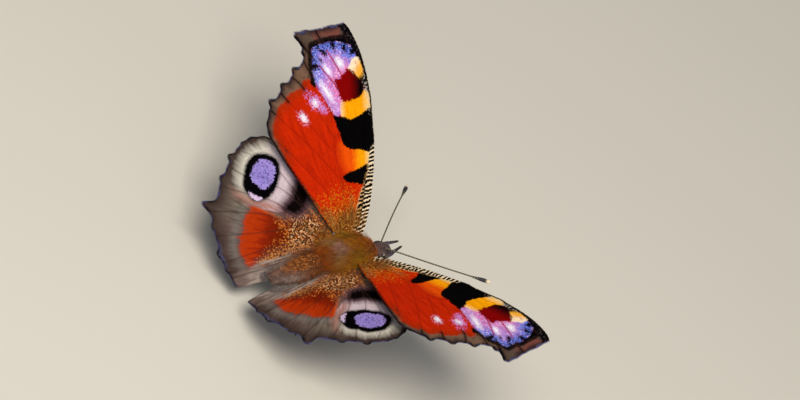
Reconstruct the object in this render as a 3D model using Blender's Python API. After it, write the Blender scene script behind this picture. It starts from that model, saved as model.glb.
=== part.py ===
"""A peacock butterfly at life size, standing on its four walking legs with half-raised wings.

Sizes are in millimetres in the insect's own frame: x to its left, y towards its tail, z up, with the
zero inside the thorax. stand() tilts that frame, lifts it onto the legs and turns it into metres.
"""
import math

import bpy
import numpy as np
from mathutils import Vector
from mathutils.geometry import delaunay_2d_cdt

# Stance and clearances
MM = 0.001
GAP = 0.3
BODY_TILT = math.radians(6.0)
BODY_HEIGHT = 7.0
MIDDLE = np.array([0.2, 1.37])

# Body: where each part starts and ends along y, and its half sizes
HEAD_FRONT, HEAD_BACK = -9.3, -6.6
THORAX_FRONT, THORAX_BACK = HEAD_BACK + GAP, 3.4
ABDOMEN_FRONT, ABDOMEN_BACK = THORAX_BACK + GAP, 11.6
HEAD_HALF_WIDTH, HEAD_HALF_HEIGHT = 1.65, 1.3
HEAD_DROP = 1.6
THORAX_HALF_WIDTH, THORAX_HALF_HEIGHT = 2.7, 2.6
THORAX_ARCH, NECK_DROP = 0.15, 1.1
ABDOMEN_HALF_WIDTH, ABDOMEN_HALF_HEIGHT = 1.9, 1.8
ABDOMEN_DROOP = 1.2
ABDOMEN_SEGMENTS = 8
EYE_PLANE = 1.0
BODY_SIDES = 20

# Feelers, palps and tongue
ANTENNA_TIPS = {"left": (9.05, -18.95, -2.5), "right": (10.1, -19.1, 0.5)}
ANTENNA_ROOT = (0.5, -7.4, -0.25)
ANTENNA_BOW = {"left": 0.15, "right": 0.1}
SHAFT_RADIUS, CLUB_RADIUS, CLUB_LENGTH = 0.25, 0.42, 3.0
PALP_PATH = ((0.9, -8.2, -1.9), (0.78, -9.2, -1.55), (0.45, -10.75, -1.15))
PALP_RADIUS = 0.3
TONGUE_CENTRE = (0.0, -8.6, -4.1)
TONGUE_STEM = ((0.0, -7.8, -2.6), (0.0, -8.0, -3.1))
TONGUE_TURNS = 1.4
TONGUE_INNER, TONGUE_OUTER, TONGUE_RADIUS = 0.42, 1.0, 0.15

# Legs, each by its hip and knee in the insect's frame and its ankle and toe on the ground
LEG_RADIUS, TOE_RADIUS, FOOT_RADIUS = 0.34, 0.25, 0.28
MID_LEG = ((1.1, -1.7, -1.6), (4.3, -3.4, -2.0), (6.1, -4.4), (8.0, -5.6))
HIND_LEG = ((1.0, 1.2, -1.6), (3.9, 3.6, -2.5), (5.4, 6.2), (6.5, 8.4))
FORE_LEG = ((0.95, -3.9, -1.6), (1.55, -5.5, -3.5), (1.1, -7.4, -3.75))

# Wings: thickness, the ridges over the veins and the spacing of the plain membrane's points
WING_THICKNESS = 0.5
VEIN_HEIGHT, VEIN_HALF_WIDTH, VEIN_STEP = 0.16, 0.38, 1.25
POINT_SPACING = 1.9
SPAN_UNIT, CHORD_UNIT = 30.0, 15.0

# A wing's flat pattern: u runs out from the root and v back from the leading edge. costa and dorsum
# are cubic curves. margin holds the ends of the veins: u, v, and then for the stretch to the next
# one the height of its tooth, the depth of its hollow and where along it the tooth stands.
FOREWING = {
    "costa": ((-0.8, -1.2), (2.6, -3.9), (22.2, -6.1), (28.35, -0.6)),
    "margin": ((28.35, -0.6, 0.15, 0.1, 0.5), (27.35, 3.5, 0.2, 0.1, 0.5), (26.8, 6.7, 0.0, 0.1, 0.5),
               (25.3, 5.9, 0.5, 0.5, 0.5), (22.9, 5.65, 0.8, 0.15, 0.6), (20.7, 7.5, 0.8, 0.15, 0.6),
               (18.5, 9.4, 0.95, 0.15, 0.6), (16.1, 11.1, 0.25, 0.0, 0.6), (13.0, 11.6, 0.0, 0.0, 0.5)),
    "dorsum": ((13.0, 11.6), (10.2, 10.6), (4.5, 6.2), (-1.2, 2.0)),
    "veins": (((0.0, -0.9), (6.0, -2.9), (13.0, -4.0)),
              ((0.0, -0.5), (7.0, -2.0), (14.3, -2.2), (20.5, -2.3), (27.4, -1.0)),
              ((14.3, -2.2), (18.2, -3.6)),
              ((14.3, -1.8), (20.9, 0.2), (24.5, 2.2), (27.2, 3.6)),
              ((14.0, -0.6), (18.6, 0.6), (22.2, 3.3), (25.4, 5.9)),
              ((13.3, 0.6), (15.5, 1.9), (20.1, 4.2), (22.8, 5.6)),
              ((12.3, 1.9), (14.1, 2.9), (18.7, 5.6), (20.7, 7.5)),
              ((10.3, 1.9), (16.1, 7.2), (18.5, 9.4)),
              ((6.8, 1.4), (10.8, 5.2), (16.0, 11.0)),
              ((0.0, 0.1), (3.5, 1.0), (6.8, 1.4), (10.3, 1.9), (12.3, 1.9), (13.3, 0.6), (14.0, -0.6),
               (14.3, -1.8)),
              ((0.0, 0.4), (5.5, 4.3), (12.8, 11.2))),
}
HINDWING = {
    "costa": ((-0.8, -0.4), (1.0, -6.0), (6.5, -11.9), (12.2, -11.7)),
    "margin": ((12.2, -11.7, 0.3, 0.0, 0.5), (15.0, -10.0, 0.0, 0.1, 0.5), (15.5, -8.8, 0.75, 0.1, 0.5),
               (16.35, -6.1, 0.6, 0.15, 0.6), (16.9, -3.1, 1.75, 0.3, 0.82), (17.6, 0.75, 0.45, 0.2, 0.6),
               (16.2, 3.8, 0.6, 0.15, 0.65), (14.5, 7.0, 0.3, 0.1, 0.5), (12.9, 8.7, 0.0, 0.0, 0.5),
               (12.0, 9.7, 0.0, 0.0, 0.5)),
    "dorsum": ((12.0, 9.7), (9.5, 9.0), (4.8, 5.2), (-0.8, 0.6)),
    "veins": (((0.0, -0.3), (2.8, -5.2), (8.0, -10.0), (12.0, -11.2)),
              ((0.0, 0.0), (4.2, -3.7), (9.5, -7.9), (15.3, -8.8)),
              ((4.2, -3.7), (8.5, -5.4), (13.7, -5.6), (16.2, -6.1)),
              ((5.3, -2.4), (9.0, -3.3), (13.9, -3.2), (16.8, -3.1)),
              ((5.6, -0.8), (9.0, -1.3), (13.0, -0.5), (17.5, 0.7)),
              ((5.6, -0.8), (8.8, 0.9), (12.5, 2.4), (16.0, 3.8)),
              ((3.2, 0.3), (8.0, 2.9), (14.3, 7.0)),
              ((0.3, 0.2), (3.2, 0.3), (5.6, -0.8), (5.3, -2.4), (4.2, -3.7)),
              ((0.3, 0.4), (5.5, 3.9), (12.6, 8.7))),
}
# How each wing sits: its root, its sweep, dihedral and pitch in degrees, and its bend as the shares of
# u^2, u v and v^2. The wings of the right side are described as if on the left and then mirrored.
POSES = {
    "forewing_left": (FOREWING, (2.58, -3.0, 0.99), (16.5, 27.9, -0.6), (-0.57, -2.27, 0.32)),
    "forewing_right": (FOREWING, (2.69, -2.99, 1.03), (16.4, 25.8, -11.6), (-0.66, -4.61, 1.26)),
    "hindwing_left": (HINDWING, (2.27, 0.48, -0.48), (-57.9, 4.7, 24.3), (-0.2, 0.58, 0.19)),
    "hindwing_right": (HINDWING, (1.67, 0.66, -0.43), (-54.1, 9.1, 25.3), (-0.2, 0.58, 0.19)),
}

# Finishes: colour, roughness
FINISHES = {
    "thorax": ("#8A5220", 0.9), "abdomen": ("#5A3A26", 0.85), "head": ("#3A2A22", 0.8),
    "eye": ("#2A1E1A", 0.25), "palp": ("#26211F", 0.8), "antenna": ("#3B3A2C", 0.6),
    "proboscis": ("#2E2019", 0.5), "forewing": ("#B5300F", 0.75), "hindwing": ("#8C5A45", 0.75),
    "leg": ("#4A3A2C", 0.7),
}


def linear(hex_colour):
    """An sRGB hex colour as the linear one that a shader takes."""
    parts = [int(hex_colour[i:i + 2], 16) / 255 for i in (1, 3, 5)]
    return [c / 12.92 if c <= 0.04045 else ((c + 0.055) / 1.055) ** 2.4 for c in parts] + [1.0]


def turned(axis, angle):
    """The matrix of a turn about x (0), y (1) or z (2)."""
    c, s = math.cos(angle), math.sin(angle)
    a, b = (axis + 1) % 3, (axis + 2) % 3
    matrix = np.eye(3)
    matrix[a, a], matrix[a, b], matrix[b, a], matrix[b, b] = c, -s, s, c
    return matrix


def stand(points):
    """From the insect's frame in millimetres to the world in metres: tilt, lift and centre."""
    lifted = np.asarray(points, float) @ turned(0, -BODY_TILT).T
    return (lifted + [MIDDLE[0], MIDDLE[1], BODY_HEIGHT]) * MM


def on_ground(points):
    """From points in millimetres over the ground to the world in metres."""
    return (np.asarray(points, float) + [MIDDLE[0], MIDDLE[1], 0.0]) * MM


def add_node(name, vertices, faces):
    """A named object from world points, with the finish of its kind."""
    mesh = bpy.data.meshes.new(name)
    mesh.from_pydata([tuple(map(float, v)) for v in vertices], [], [tuple(map(int, f)) for f in faces])
    mesh.validate()
    node = bpy.data.objects.new(name, mesh)
    bpy.context.scene.collection.objects.link(node)
    kind = next((k for k in FINISHES if name.startswith(k)), None)
    if kind:
        colour, roughness = FINISHES[kind]
        material = bpy.data.materials.new(name)
        material.use_nodes = True
        shader = material.node_tree.nodes["Principled BSDF"]
        shader.inputs["Base Color"].default_value = linear(colour)
        shader.inputs["Roughness"].default_value = roughness
        mesh.materials.append(material)
    return node


def ring_faces(rings, sides, flip=False):
    """Faces of a closed tube of rings, with a fan's worth of cap at each end as one face."""
    faces = []
    for r in range(rings - 1):
        for s in range(sides):
            a, b = r * sides + s, r * sides + (s + 1) % sides
            faces.append((a, b, b + sides, a + sides))
    faces.append(tuple(range(sides - 1, -1, -1)))
    faces.append(tuple(range((rings - 1) * sides, rings * sides)))
    return [f[::-1] for f in faces] if flip else faces


def swell(t, start, peak, peak_at, end):
    """A size that rises from start to its peak on a quarter sine and falls to end on a cosine."""
    rising = start + (peak - start) * np.sin(0.5 * np.pi * np.clip(t / peak_at, 0, 1))
    falling = end + (peak - end) * np.cos(0.5 * np.pi * np.clip((t - peak_at) / (1 - peak_at), 0, 1))
    return np.where(t < peak_at, rising, falling)


def barrel(name, y, half_width, half_height, middle, grow=0.0):
    """A body part: an elliptic ring at each y, with its own half sizes and middle height."""
    angle = np.arange(BODY_SIDES) * 2 * np.pi / BODY_SIDES
    width, height = half_width + grow, half_height + grow
    y = y.copy()
    y[0], y[-1] = y[0] - grow, y[-1] + grow
    points = np.stack([width[:, None] * np.sin(angle), np.repeat(y[:, None], BODY_SIDES, 1),
                       middle[:, None] + height[:, None] * np.cos(angle)], -1)
    return add_node(name, stand(points.reshape(-1, 3)), ring_faces(len(y), BODY_SIDES))


def thorax(name="thorax", grow=0.0):
    """The thorax with the depth of its fur: narrow at the neck, widest under the forewings."""
    t = np.linspace(0, 1, 15)
    size = swell(t, 0.52, 1.0, 0.48, 0.62)
    y = THORAX_FRONT + (THORAX_BACK - THORAX_FRONT) * t
    middle = THORAX_ARCH * np.sin(np.pi * t) - NECK_DROP * (1 - t) ** 3
    return barrel(name, y, THORAX_HALF_WIDTH * size, THORAX_HALF_HEIGHT * size, middle, grow)


def abdomen(name="abdomen", grow=0.0):
    """The abdomen: a drooping spindle with a shallow groove after each segment."""
    t = np.linspace(0, 1, 2 * ABDOMEN_SEGMENTS + 1)
    size = swell(t, 0.86, 1.0, 0.35, 0.2)
    size[2:-2:2] *= 0.95
    y = ABDOMEN_FRONT + (ABDOMEN_BACK - ABDOMEN_FRONT) * t
    middle = -0.1 - ABDOMEN_DROOP * t ** 1.5
    return barrel(name, y, ABDOMEN_HALF_WIDTH * size, ABDOMEN_HALF_HEIGHT * size, middle, grow)


def head(name="head", grow=0.0):
    """The head with both eyes: a short barrel that the eye planes later part."""
    t = np.linspace(0, 1, 9)
    size = swell(t, 0.3, 1.0, 0.55, 0.78)
    y = HEAD_FRONT + (HEAD_BACK - HEAD_FRONT) * t
    return barrel(name, y, HEAD_HALF_WIDTH * size, HEAD_HALF_HEIGHT * size, -HEAD_DROP + 0 * t, grow)


def slab(name, x_low, x_high):
    """A block across the head between two x planes, to part the eyes from it."""
    corners = [(x, y, z) for x in (x_low, x_high) for y in (HEAD_FRONT - 1, HEAD_BACK + 1) for z in (-4, 4)]
    faces = [(0, 1, 3, 2), (4, 6, 7, 5), (0, 4, 5, 1), (2, 3, 7, 6), (0, 2, 6, 4), (1, 5, 7, 3)]
    return add_node(name, stand(corners), faces)


def combine(node, tool, operation):
    """A Boolean of the node with one tool body, applied; the tool is removed."""
    modifier = node.modifiers.new("cut", "BOOLEAN")
    modifier.operation = operation
    modifier.solver = "EXACT"
    modifier.object = tool
    evaluated = node.evaluated_get(bpy.context.evaluated_depsgraph_get())
    cut = bpy.data.meshes.new_from_object(evaluated)
    node.modifiers.clear()
    node.data = cut
    bpy.data.objects.remove(tool)
    keep_largest(node)


def keep_largest(node):
    """Drops every closed surface of the node but the largest."""
    mesh = node.data
    group = np.arange(len(mesh.vertices))
    edges = np.array([e.vertices[:] for e in mesh.edges])
    while True:
        low = np.minimum(group[edges[:, 0]], group[edges[:, 1]])
        before = group.copy()
        np.minimum.at(group, edges[:, 0], low)
        np.minimum.at(group, edges[:, 1], low)
        if np.array_equal(before, group):
            break
    labels, counts = np.unique(group, return_counts=True)
    if len(labels) == 1:
        return
    keep = group == labels[np.argmax(counts)]
    new_index = np.cumsum(keep) - 1
    vertices = [v.co[:] for v in mesh.vertices if keep[v.index]]
    faces = [[new_index[i] for i in p.vertices] for p in mesh.polygons if keep[p.vertices[0]]]
    materials = list(mesh.materials)
    smaller = bpy.data.meshes.new(node.name)
    smaller.from_pydata(vertices, [], faces)
    for material in materials:
        smaller.materials.append(material)
    node.data = smaller


def smooth_path(points, count):
    """A Catmull-Rom curve through the points, as count points evenly spread over its stretches."""
    points = np.asarray(points, float)
    padded = np.vstack([2 * points[0] - points[1], points, 2 * points[-1] - points[-2]])
    s = np.linspace(0, len(points) - 1, count)
    i = np.minimum(s.astype(int), len(points) - 2)
    f = (s - i)[:, None]
    a, b, c, d = padded[i], padded[i + 1], padded[i + 2], padded[i + 3]
    return 0.5 * (2 * b + (c - a) * f + (2 * a - 5 * b + 4 * c - d) * f ** 2 + (3 * b - a - 3 * c + d) * f ** 3)


def tube(name, path, radii, sides, up=(0, 0, 1)):
    """A closed tube along world points, its rings carried along without twist from the first one."""
    path = np.asarray(path, float)
    ahead = np.gradient(path, axis=0)
    ahead /= np.linalg.norm(ahead, axis=1, keepdims=True)
    across = np.cross(ahead[0], up)
    angle = (np.arange(sides) + 0.5) * 2 * np.pi / sides
    rings = []
    for centre, direction, radius in zip(path, ahead, radii):
        across = across - direction * (across @ direction)
        across /= np.linalg.norm(across)
        above = np.cross(across, direction)
        rings.append(centre + radius * (np.outer(np.sin(angle), across) + np.outer(np.cos(angle), above)))
    return add_node(name, np.vstack(rings), ring_faces(len(path), sides, flip=True))


def mirrored(points, side):
    """The points of the left side, or their mirror image for the right."""
    return np.asarray(points, float) * [1 if side == "left" else -1, 1, 1]


def antenna(side):
    """A feeler: a slim shaft with a little bow, swelling into a club with a blunt tip."""
    root = mirrored(ANTENNA_ROOT, side)
    tip = mirrored(ANTENNA_TIPS[side], side)
    middle = (root + tip) / 2 + mirrored((ANTENNA_BOW[side], 0, 0), side)
    path = smooth_path([root, middle, tip], 20)
    length = np.linalg.norm(tip - root)
    left_over = length * (1 - np.linspace(0, 1, 20))
    club = np.clip(1 - left_over / CLUB_LENGTH, 0, 1)
    radii = SHAFT_RADIUS + (CLUB_RADIUS - SHAFT_RADIUS) * np.sin(np.pi * np.clip(club, 0, 0.85) / 1.5)
    radii[-1] = 0.5 * radii[-2]
    node = tube("antenna_" + side, stand(path), radii * MM, 8)
    combine(node, head("tool", GAP), "DIFFERENCE")


def palp(side):
    """A palp: a tapered finger that points forward beside its twin."""
    path = smooth_path(mirrored(PALP_PATH, side), 8)
    radii = PALP_RADIUS * np.array([1.0, 1.05, 1.05, 1.0, 0.95, 0.85, 0.7, 0.35])
    node = tube("palp_" + side, stand(path), radii * MM, 8)
    combine(node, head("tool", GAP), "DIFFERENCE")


def proboscis():
    """The tongue, coiled in the body's middle plane, with its stem running up to the head."""
    turn = np.linspace(0, 1, 30)
    angle = math.radians(100) - turn * TONGUE_TURNS * 2 * np.pi
    reach = TONGUE_OUTER + (TONGUE_INNER - TONGUE_OUTER) * turn
    coil = np.array(TONGUE_CENTRE) + np.stack([0 * turn, -reach * np.cos(angle), reach * np.sin(angle)], -1)
    path = np.vstack([TONGUE_STEM, coil])
    radii = np.full(len(path), TONGUE_RADIUS)
    node = tube("proboscis", stand(path), radii * MM, 8, up=(1, 0, 0))
    combine(node, head("tool", GAP), "DIFFERENCE")


def walking_leg(name, side, joints):
    """A leg from the ground up: the foot flat on the ground, then shin and thigh up to the hip."""
    hip, knee, ankle, toe = joints
    foot = mirrored([(*toe, 0.9 * TOE_RADIUS), (*ankle, 0.9 * FOOT_RADIUS)], side)
    toe_end, ankle_top = on_ground(foot)
    hip_point, knee_point = stand(mirrored([hip, knee], side))
    bend = 0.12
    corners = [toe_end, toe_end + (ankle_top - toe_end) * 0.5, ankle_top,
               ankle_top + (knee_point - ankle_top) * bend, knee_point + (ankle_top - knee_point) * bend,
               knee_point + (hip_point - knee_point) * bend, hip_point]
    path = smooth_path(corners, 25)
    path[:9, 2] = on_ground(smooth_path(foot, 9))[:, 2]
    radii = np.interp(np.linspace(0, 6, 25), [0, 2, 3.5, 4.5, 6],
                      [TOE_RADIUS, FOOT_RADIUS, 0.27, LEG_RADIUS, LEG_RADIUS + 0.05])
    radii[0] *= 0.8
    node = tube(name + "_" + side, path, radii * MM, 8)
    for vertex in node.data.vertices:
        vertex.co.z = max(vertex.co.z, 0.0)
    combine(node, thorax("tool", GAP), "DIFFERENCE")


def fore_leg(side):
    """A brush-like foreleg, too short to walk on, folded under the head."""
    path = smooth_path(mirrored(FORE_LEG, side), 11)
    radii = np.interp(np.linspace(0, 1, 11), [0, 0.4, 0.8, 1], [0.34, 0.32, 0.3, 0.15])
    node = tube("leg_fore_" + side, stand(path), radii * MM, 8)
    combine(node, thorax("tool", GAP), "DIFFERENCE")


def cubic(corners, count):
    """A cubic Bezier curve with four corners."""
    t = np.linspace(0, 1, count)[:, None]
    a, b, c, d = (np.array(p, float) for p in corners)
    return (1 - t) ** 3 * a + 3 * t * (1 - t) ** 2 * b + 3 * t ** 2 * (1 - t) * c + t ** 3 * d


def toothed_margin(knots, steps):
    """The outer margin: between two vein ends, a hollow as a half sine with a tooth on it as a bell."""
    points = []
    for (u0, v0, tooth, hollow, peak), (u1, v1, *_rest) in zip(knots, knots[1:]):
        along = np.arange(steps) / steps
        out = np.array([v1 - v0, u0 - u1]) / math.hypot(u1 - u0, v1 - v0)
        bell = np.exp(-((along - peak) / 0.17) ** 2) * np.clip(along / 0.2, 0, 1)
        offset = tooth * bell - hollow * np.sin(np.pi * along)
        line = np.outer(1 - along, (u0, v0)) + np.outer(along, (u1, v1))
        points.append(line + offset[:, None] * out)
    return np.vstack(points)


def wing_outline(wing, curve_steps, tooth_steps):
    """The closed outline of a wing's flat pattern, from its root along the leading edge and back."""
    costa = cubic(wing["costa"], curve_steps)[:-1]
    margin = toothed_margin(wing["margin"], tooth_steps)
    dorsum = cubic(wing["dorsum"], curve_steps)
    return np.vstack([costa, margin, dorsum])


def distance_to_paths(points, paths):
    """How far each point is from the nearest of the paths."""
    nearest = np.full(len(points), np.inf)
    for path in paths:
        start, step = path[:-1], np.diff(path, axis=0)
        along = ((points[:, None] - start) * step).sum(-1) / (step ** 2).sum(-1)
        foot = start + np.clip(along, 0, 1)[..., None] * step
        nearest = np.minimum(nearest, np.linalg.norm(points[:, None] - foot, axis=-1).min(1))
    return nearest


def inside(points, outline):
    """Which points lie in the outline, by counting the edges that a ray along u crosses."""
    a, b = outline, np.roll(outline, -1, axis=0)
    u, v = points[:, :1], points[:, 1:]
    spans = (a[:, 1] > v) != (b[:, 1] > v)
    rise = np.where(b[:, 1] == a[:, 1], 1e-9, b[:, 1] - a[:, 1])
    crossing = a[:, 0] + (v - a[:, 1]) * (b[:, 0] - a[:, 0]) / rise
    return (spans & (u < crossing)).sum(1) % 2 == 1


def vein_paths(wing):
    """Each vein as a smooth line with a point about every vein step."""
    paths = []
    for vein in wing["veins"]:
        length = np.linalg.norm(np.diff(np.array(vein), axis=0), axis=1).sum()
        paths.append(smooth_path(vein, max(3, int(length / VEIN_STEP) + 2)))
    return paths


def flat_pattern(wing):
    """The wing's pattern as triangles: outline, vein crests with a foot on either side, and a grid."""
    outline = wing_outline(wing, 14, 5)
    rim = [outline, outline[[-1, 0]]]
    paths = vein_paths(wing)
    crests = [p[1:-1] for p in paths]
    feet = []
    for path in paths:
        along = np.gradient(path, axis=0)
        across = np.stack([-along[:, 1], along[:, 0]], -1) / np.linalg.norm(along, axis=1, keepdims=True)
        feet += [path + VEIN_HALF_WIDTH * across, path - VEIN_HALF_WIDTH * across]
    feet = np.vstack(feet)
    feet = feet[distance_to_paths(feet, paths) > 0.9 * VEIN_HALF_WIDTH]
    low, high = outline.min(0), outline.max(0)
    rows = np.arange(low[1], high[1], POINT_SPACING * 0.87)
    grid = [(u, v) for r, v in enumerate(rows)
            for u in np.arange(low[0] + (r % 2) * POINT_SPACING / 2, high[0], POINT_SPACING)]
    grid = np.array(grid)
    grid = grid[distance_to_paths(grid, paths) > 0.55 * POINT_SPACING]
    extra = np.vstack(crests + [feet, grid])
    extra = extra[inside(extra, outline) & (distance_to_paths(extra, rim) > 0.35)]
    chosen = []
    for point in extra:
        if all(math.dist(point, other) > 0.3 for other in chosen):
            chosen.append(point)
    points = np.vstack([outline, chosen])
    loop = list(range(len(outline)))
    edges = [(i, (i + 1) % len(loop)) for i in loop]
    flat, _edges, triangles, *_sources = delaunay_2d_cdt([Vector(p) for p in points], edges, [loop], 1, 1e-5)
    return np.array([tuple(p) for p in flat]), [tuple(t) for t in triangles], paths


def wing_surface(flat, root, angles, bend):
    """Points of the flat pattern carried onto the curved, posed wing, with their upward normals."""
    def placed(uv):
        u, v = uv[:, 0] / SPAN_UNIT, uv[:, 1] / CHORD_UNIT
        a, b, c = bend
        return np.stack([uv[:, 0], uv[:, 1], a * u * u + b * u * v + c * v * v], -1)
    sweep, dihedral, pitch = (math.radians(angle) for angle in angles)
    pose = turned(2, -sweep) @ turned(1, -dihedral) @ turned(0, -pitch)
    step = 0.01
    middle = placed(flat)
    along_u = placed(flat + [step, 0]) - middle
    along_v = placed(flat + [0, step]) - middle
    normal = np.cross(along_u, along_v)
    normal /= np.linalg.norm(normal, axis=1, keepdims=True)
    return middle @ pose.T + root, normal @ pose.T


def wing(name):
    """A wing: one pattern of triangles on both faces, raised along the veins on the upper one."""
    shape, root, angles, bend = POSES[name]
    side = name.split("_")[1]
    flat, triangles, paths = flat_pattern(shape)
    middle, normal = wing_surface(flat, root, angles, bend)
    ridge = VEIN_HEIGHT * np.clip(1 - distance_to_paths(flat, paths) / VEIN_HALF_WIDTH, 0, 1)
    upper = middle + normal * (WING_THICKNESS / 2 + ridge)[:, None]
    lower = middle - normal * WING_THICKNESS / 2
    count = len(flat)
    uses = {}
    for triangle in triangles:
        for a, b in zip(triangle, triangle[1:] + triangle[:1]):
            uses[(a, b)] = True
    rim = [edge for edge in uses if edge[::-1] not in uses]
    faces = list(triangles) + [tuple(i + count for i in t[::-1]) for t in triangles]
    for a, b in rim:
        faces += [(b, a, a + count), (b, a + count, b + count)]
    if side == "right":
        faces = [f[::-1] for f in faces]
    points = mirrored(np.vstack([upper, lower]), side)
    node = add_node(name, stand(points), faces)
    combine(node, thorax("tool", GAP), "DIFFERENCE")
    if name.startswith("hindwing"):
        combine(node, abdomen("tool", GAP), "DIFFERENCE")


def build():
    """The whole butterfly, in a scene of its own."""
    for leftover in list(bpy.data.objects):
        bpy.data.objects.remove(leftover)
    thorax()
    abdomen()
    combine(head(), slab("tool", -EYE_PLANE + GAP, EYE_PLANE - GAP), "INTERSECT")
    proboscis()
    for side in ("left", "right"):
        low, high = sorted(mirrored([(EYE_PLANE, 0, 0), (HEAD_HALF_WIDTH + 1, 0, 0)], side)[:, 0])
        combine(head("eye_" + side), slab("tool", low, high), "INTERSECT")
        palp(side)
        antenna(side)
        fore_leg(side)
        walking_leg("leg_mid", side, MID_LEG)
        walking_leg("leg_hind", side, HIND_LEG)
    for name in POSES:
        wing(name)


build()
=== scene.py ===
"""The looks of a life-size peacock butterfly: scaled wings, fur, eyes, palps, feelers, tongue and legs.

Sizes are in millimetres in the insect's own frame: x to its left, y towards its tail, z up, with the
zero inside the thorax. stand() tilts that frame, lifts it onto the legs and turns it into metres.
"""
import math

import bpy
import numpy as np
from mathutils import Matrix, Vector


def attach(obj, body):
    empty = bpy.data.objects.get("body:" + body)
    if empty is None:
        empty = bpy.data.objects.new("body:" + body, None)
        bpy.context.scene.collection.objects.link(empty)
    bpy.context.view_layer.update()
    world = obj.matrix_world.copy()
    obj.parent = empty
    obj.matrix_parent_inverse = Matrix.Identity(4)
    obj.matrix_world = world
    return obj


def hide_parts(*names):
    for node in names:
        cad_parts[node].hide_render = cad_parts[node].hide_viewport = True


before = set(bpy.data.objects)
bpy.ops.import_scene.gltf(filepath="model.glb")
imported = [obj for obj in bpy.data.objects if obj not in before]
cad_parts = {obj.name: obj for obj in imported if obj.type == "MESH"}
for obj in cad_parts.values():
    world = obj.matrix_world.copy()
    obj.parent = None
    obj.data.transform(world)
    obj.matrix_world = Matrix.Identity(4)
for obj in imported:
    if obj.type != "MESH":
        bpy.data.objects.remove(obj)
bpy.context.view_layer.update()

# Stance, as in the frame
MM = 0.001
BODY_TILT = math.radians(6.0)
BODY_HEIGHT = 7.0
MIDDLE = (0.2, 1.37)
SIDES = {"left": 1, "right": -1}

# Wing patterns: u runs out from the root and v back from the leading edge. costa and dorsum are cubic
# curves. margin holds the ends of the veins: u, v, and for the stretch to the next one the height of its
# tooth, the depth of its hollow and where along it the tooth stands. bake_box is what its bake map covers.
FOREWING = {
    "costa": ((-0.8, -1.2), (2.6, -3.9), (22.2, -6.1), (28.35, -0.6)),
    "margin": ((28.35, -0.6, 0.15, 0.1, 0.5), (27.35, 3.5, 0.2, 0.1, 0.5), (26.9, 6.5, 0.0, 0.0, 0.5),
               (26.2, 6.7, 0.0, 0.12, 0.5), (25.3, 5.9, 0.5, 0.5, 0.5), (22.9, 5.65, 0.8, 0.15, 0.6),
               (20.7, 7.5, 0.8, 0.15, 0.6), (18.5, 9.4, 0.95, 0.15, 0.6), (16.1, 11.1, 0.25, 0.0, 0.6),
               (13.0, 11.6, 0.0, 0.0, 0.5)),
    "dorsum": ((13.0, 11.6), (10.2, 10.6), (4.5, 6.2), (-1.2, 2.0)),
    "veins": (((0.0, -0.9), (6.0, -2.9), (13.0, -4.0)),
              ((0.0, -0.5), (7.0, -2.0), (14.3, -2.2), (20.5, -2.3), (27.4, -1.0)),
              ((14.3, -2.2), (18.2, -3.6)),
              ((14.3, -1.8), (20.9, 0.2), (24.5, 2.2), (27.2, 3.6)),
              ((14.0, -0.6), (18.6, 0.6), (22.2, 3.3), (25.4, 5.9)),
              ((13.3, 0.6), (15.5, 1.9), (20.1, 4.2), (22.8, 5.6)),
              ((12.3, 1.9), (14.1, 2.9), (18.7, 5.6), (20.7, 7.5)),
              ((10.3, 1.9), (16.1, 7.2), (18.5, 9.4)),
              ((6.8, 1.4), (10.8, 5.2), (16.0, 11.0)),
              ((0.0, 0.1), (3.5, 1.0), (6.8, 1.4), (10.3, 1.9), (12.3, 1.9), (13.3, 0.6), (14.0, -0.6),
               (14.3, -1.8)),
              ((0.0, 0.4), (5.5, 4.0), (11.6, 10.1))),
    "bake_box": ((-1.5, -5.2), (29.5, 12.5)),
}
HINDWING = {
    "costa": ((-0.8, -0.4), (1.0, -6.0), (6.5, -11.9), (12.2, -11.7)),
    "margin": ((12.2, -11.7, 0.3, 0.0, 0.5), (15.0, -10.0, 0.0, 0.1, 0.5), (15.5, -8.8, 0.75, 0.1, 0.5),
               (16.35, -6.1, 0.6, 0.15, 0.6), (16.9, -3.1, 1.75, 0.3, 0.82), (17.6, 0.75, 0.45, 0.2, 0.6),
               (16.2, 3.8, 0.6, 0.15, 0.65), (14.5, 7.0, 0.3, 0.1, 0.5), (12.9, 8.7, 0.0, 0.0, 0.5),
               (12.0, 9.7, 0.0, 0.0, 0.5)),
    "dorsum": ((12.0, 9.7), (9.5, 9.0), (4.8, 5.2), (-0.8, 0.6)),
    "veins": (((0.0, -0.3), (2.8, -5.2), (8.0, -10.0), (12.0, -11.2)),
              ((0.0, 0.0), (4.2, -3.7), (9.5, -7.9), (15.3, -8.8)),
              ((4.2, -3.7), (8.5, -5.4), (13.7, -5.6), (16.2, -6.1)),
              ((5.3, -2.4), (9.0, -3.3), (13.9, -3.2), (16.8, -3.1)),
              ((5.6, -0.8), (9.0, -1.3), (13.0, -0.5), (17.5, 0.7)),
              ((5.6, -0.8), (8.8, 0.9), (12.5, 2.4), (16.0, 3.8)),
              ((3.2, 0.3), (8.0, 2.9), (14.3, 7.0)),
              ((0.3, 0.2), (3.2, 0.3), (5.6, -0.8), (5.3, -2.4), (4.2, -3.7)),
              ((0.3, 0.4), (5.5, 3.9), (12.6, 8.7))),
    "bake_box": ((-1.5, -12.5), (19.0, 12.5)),
}
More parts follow.
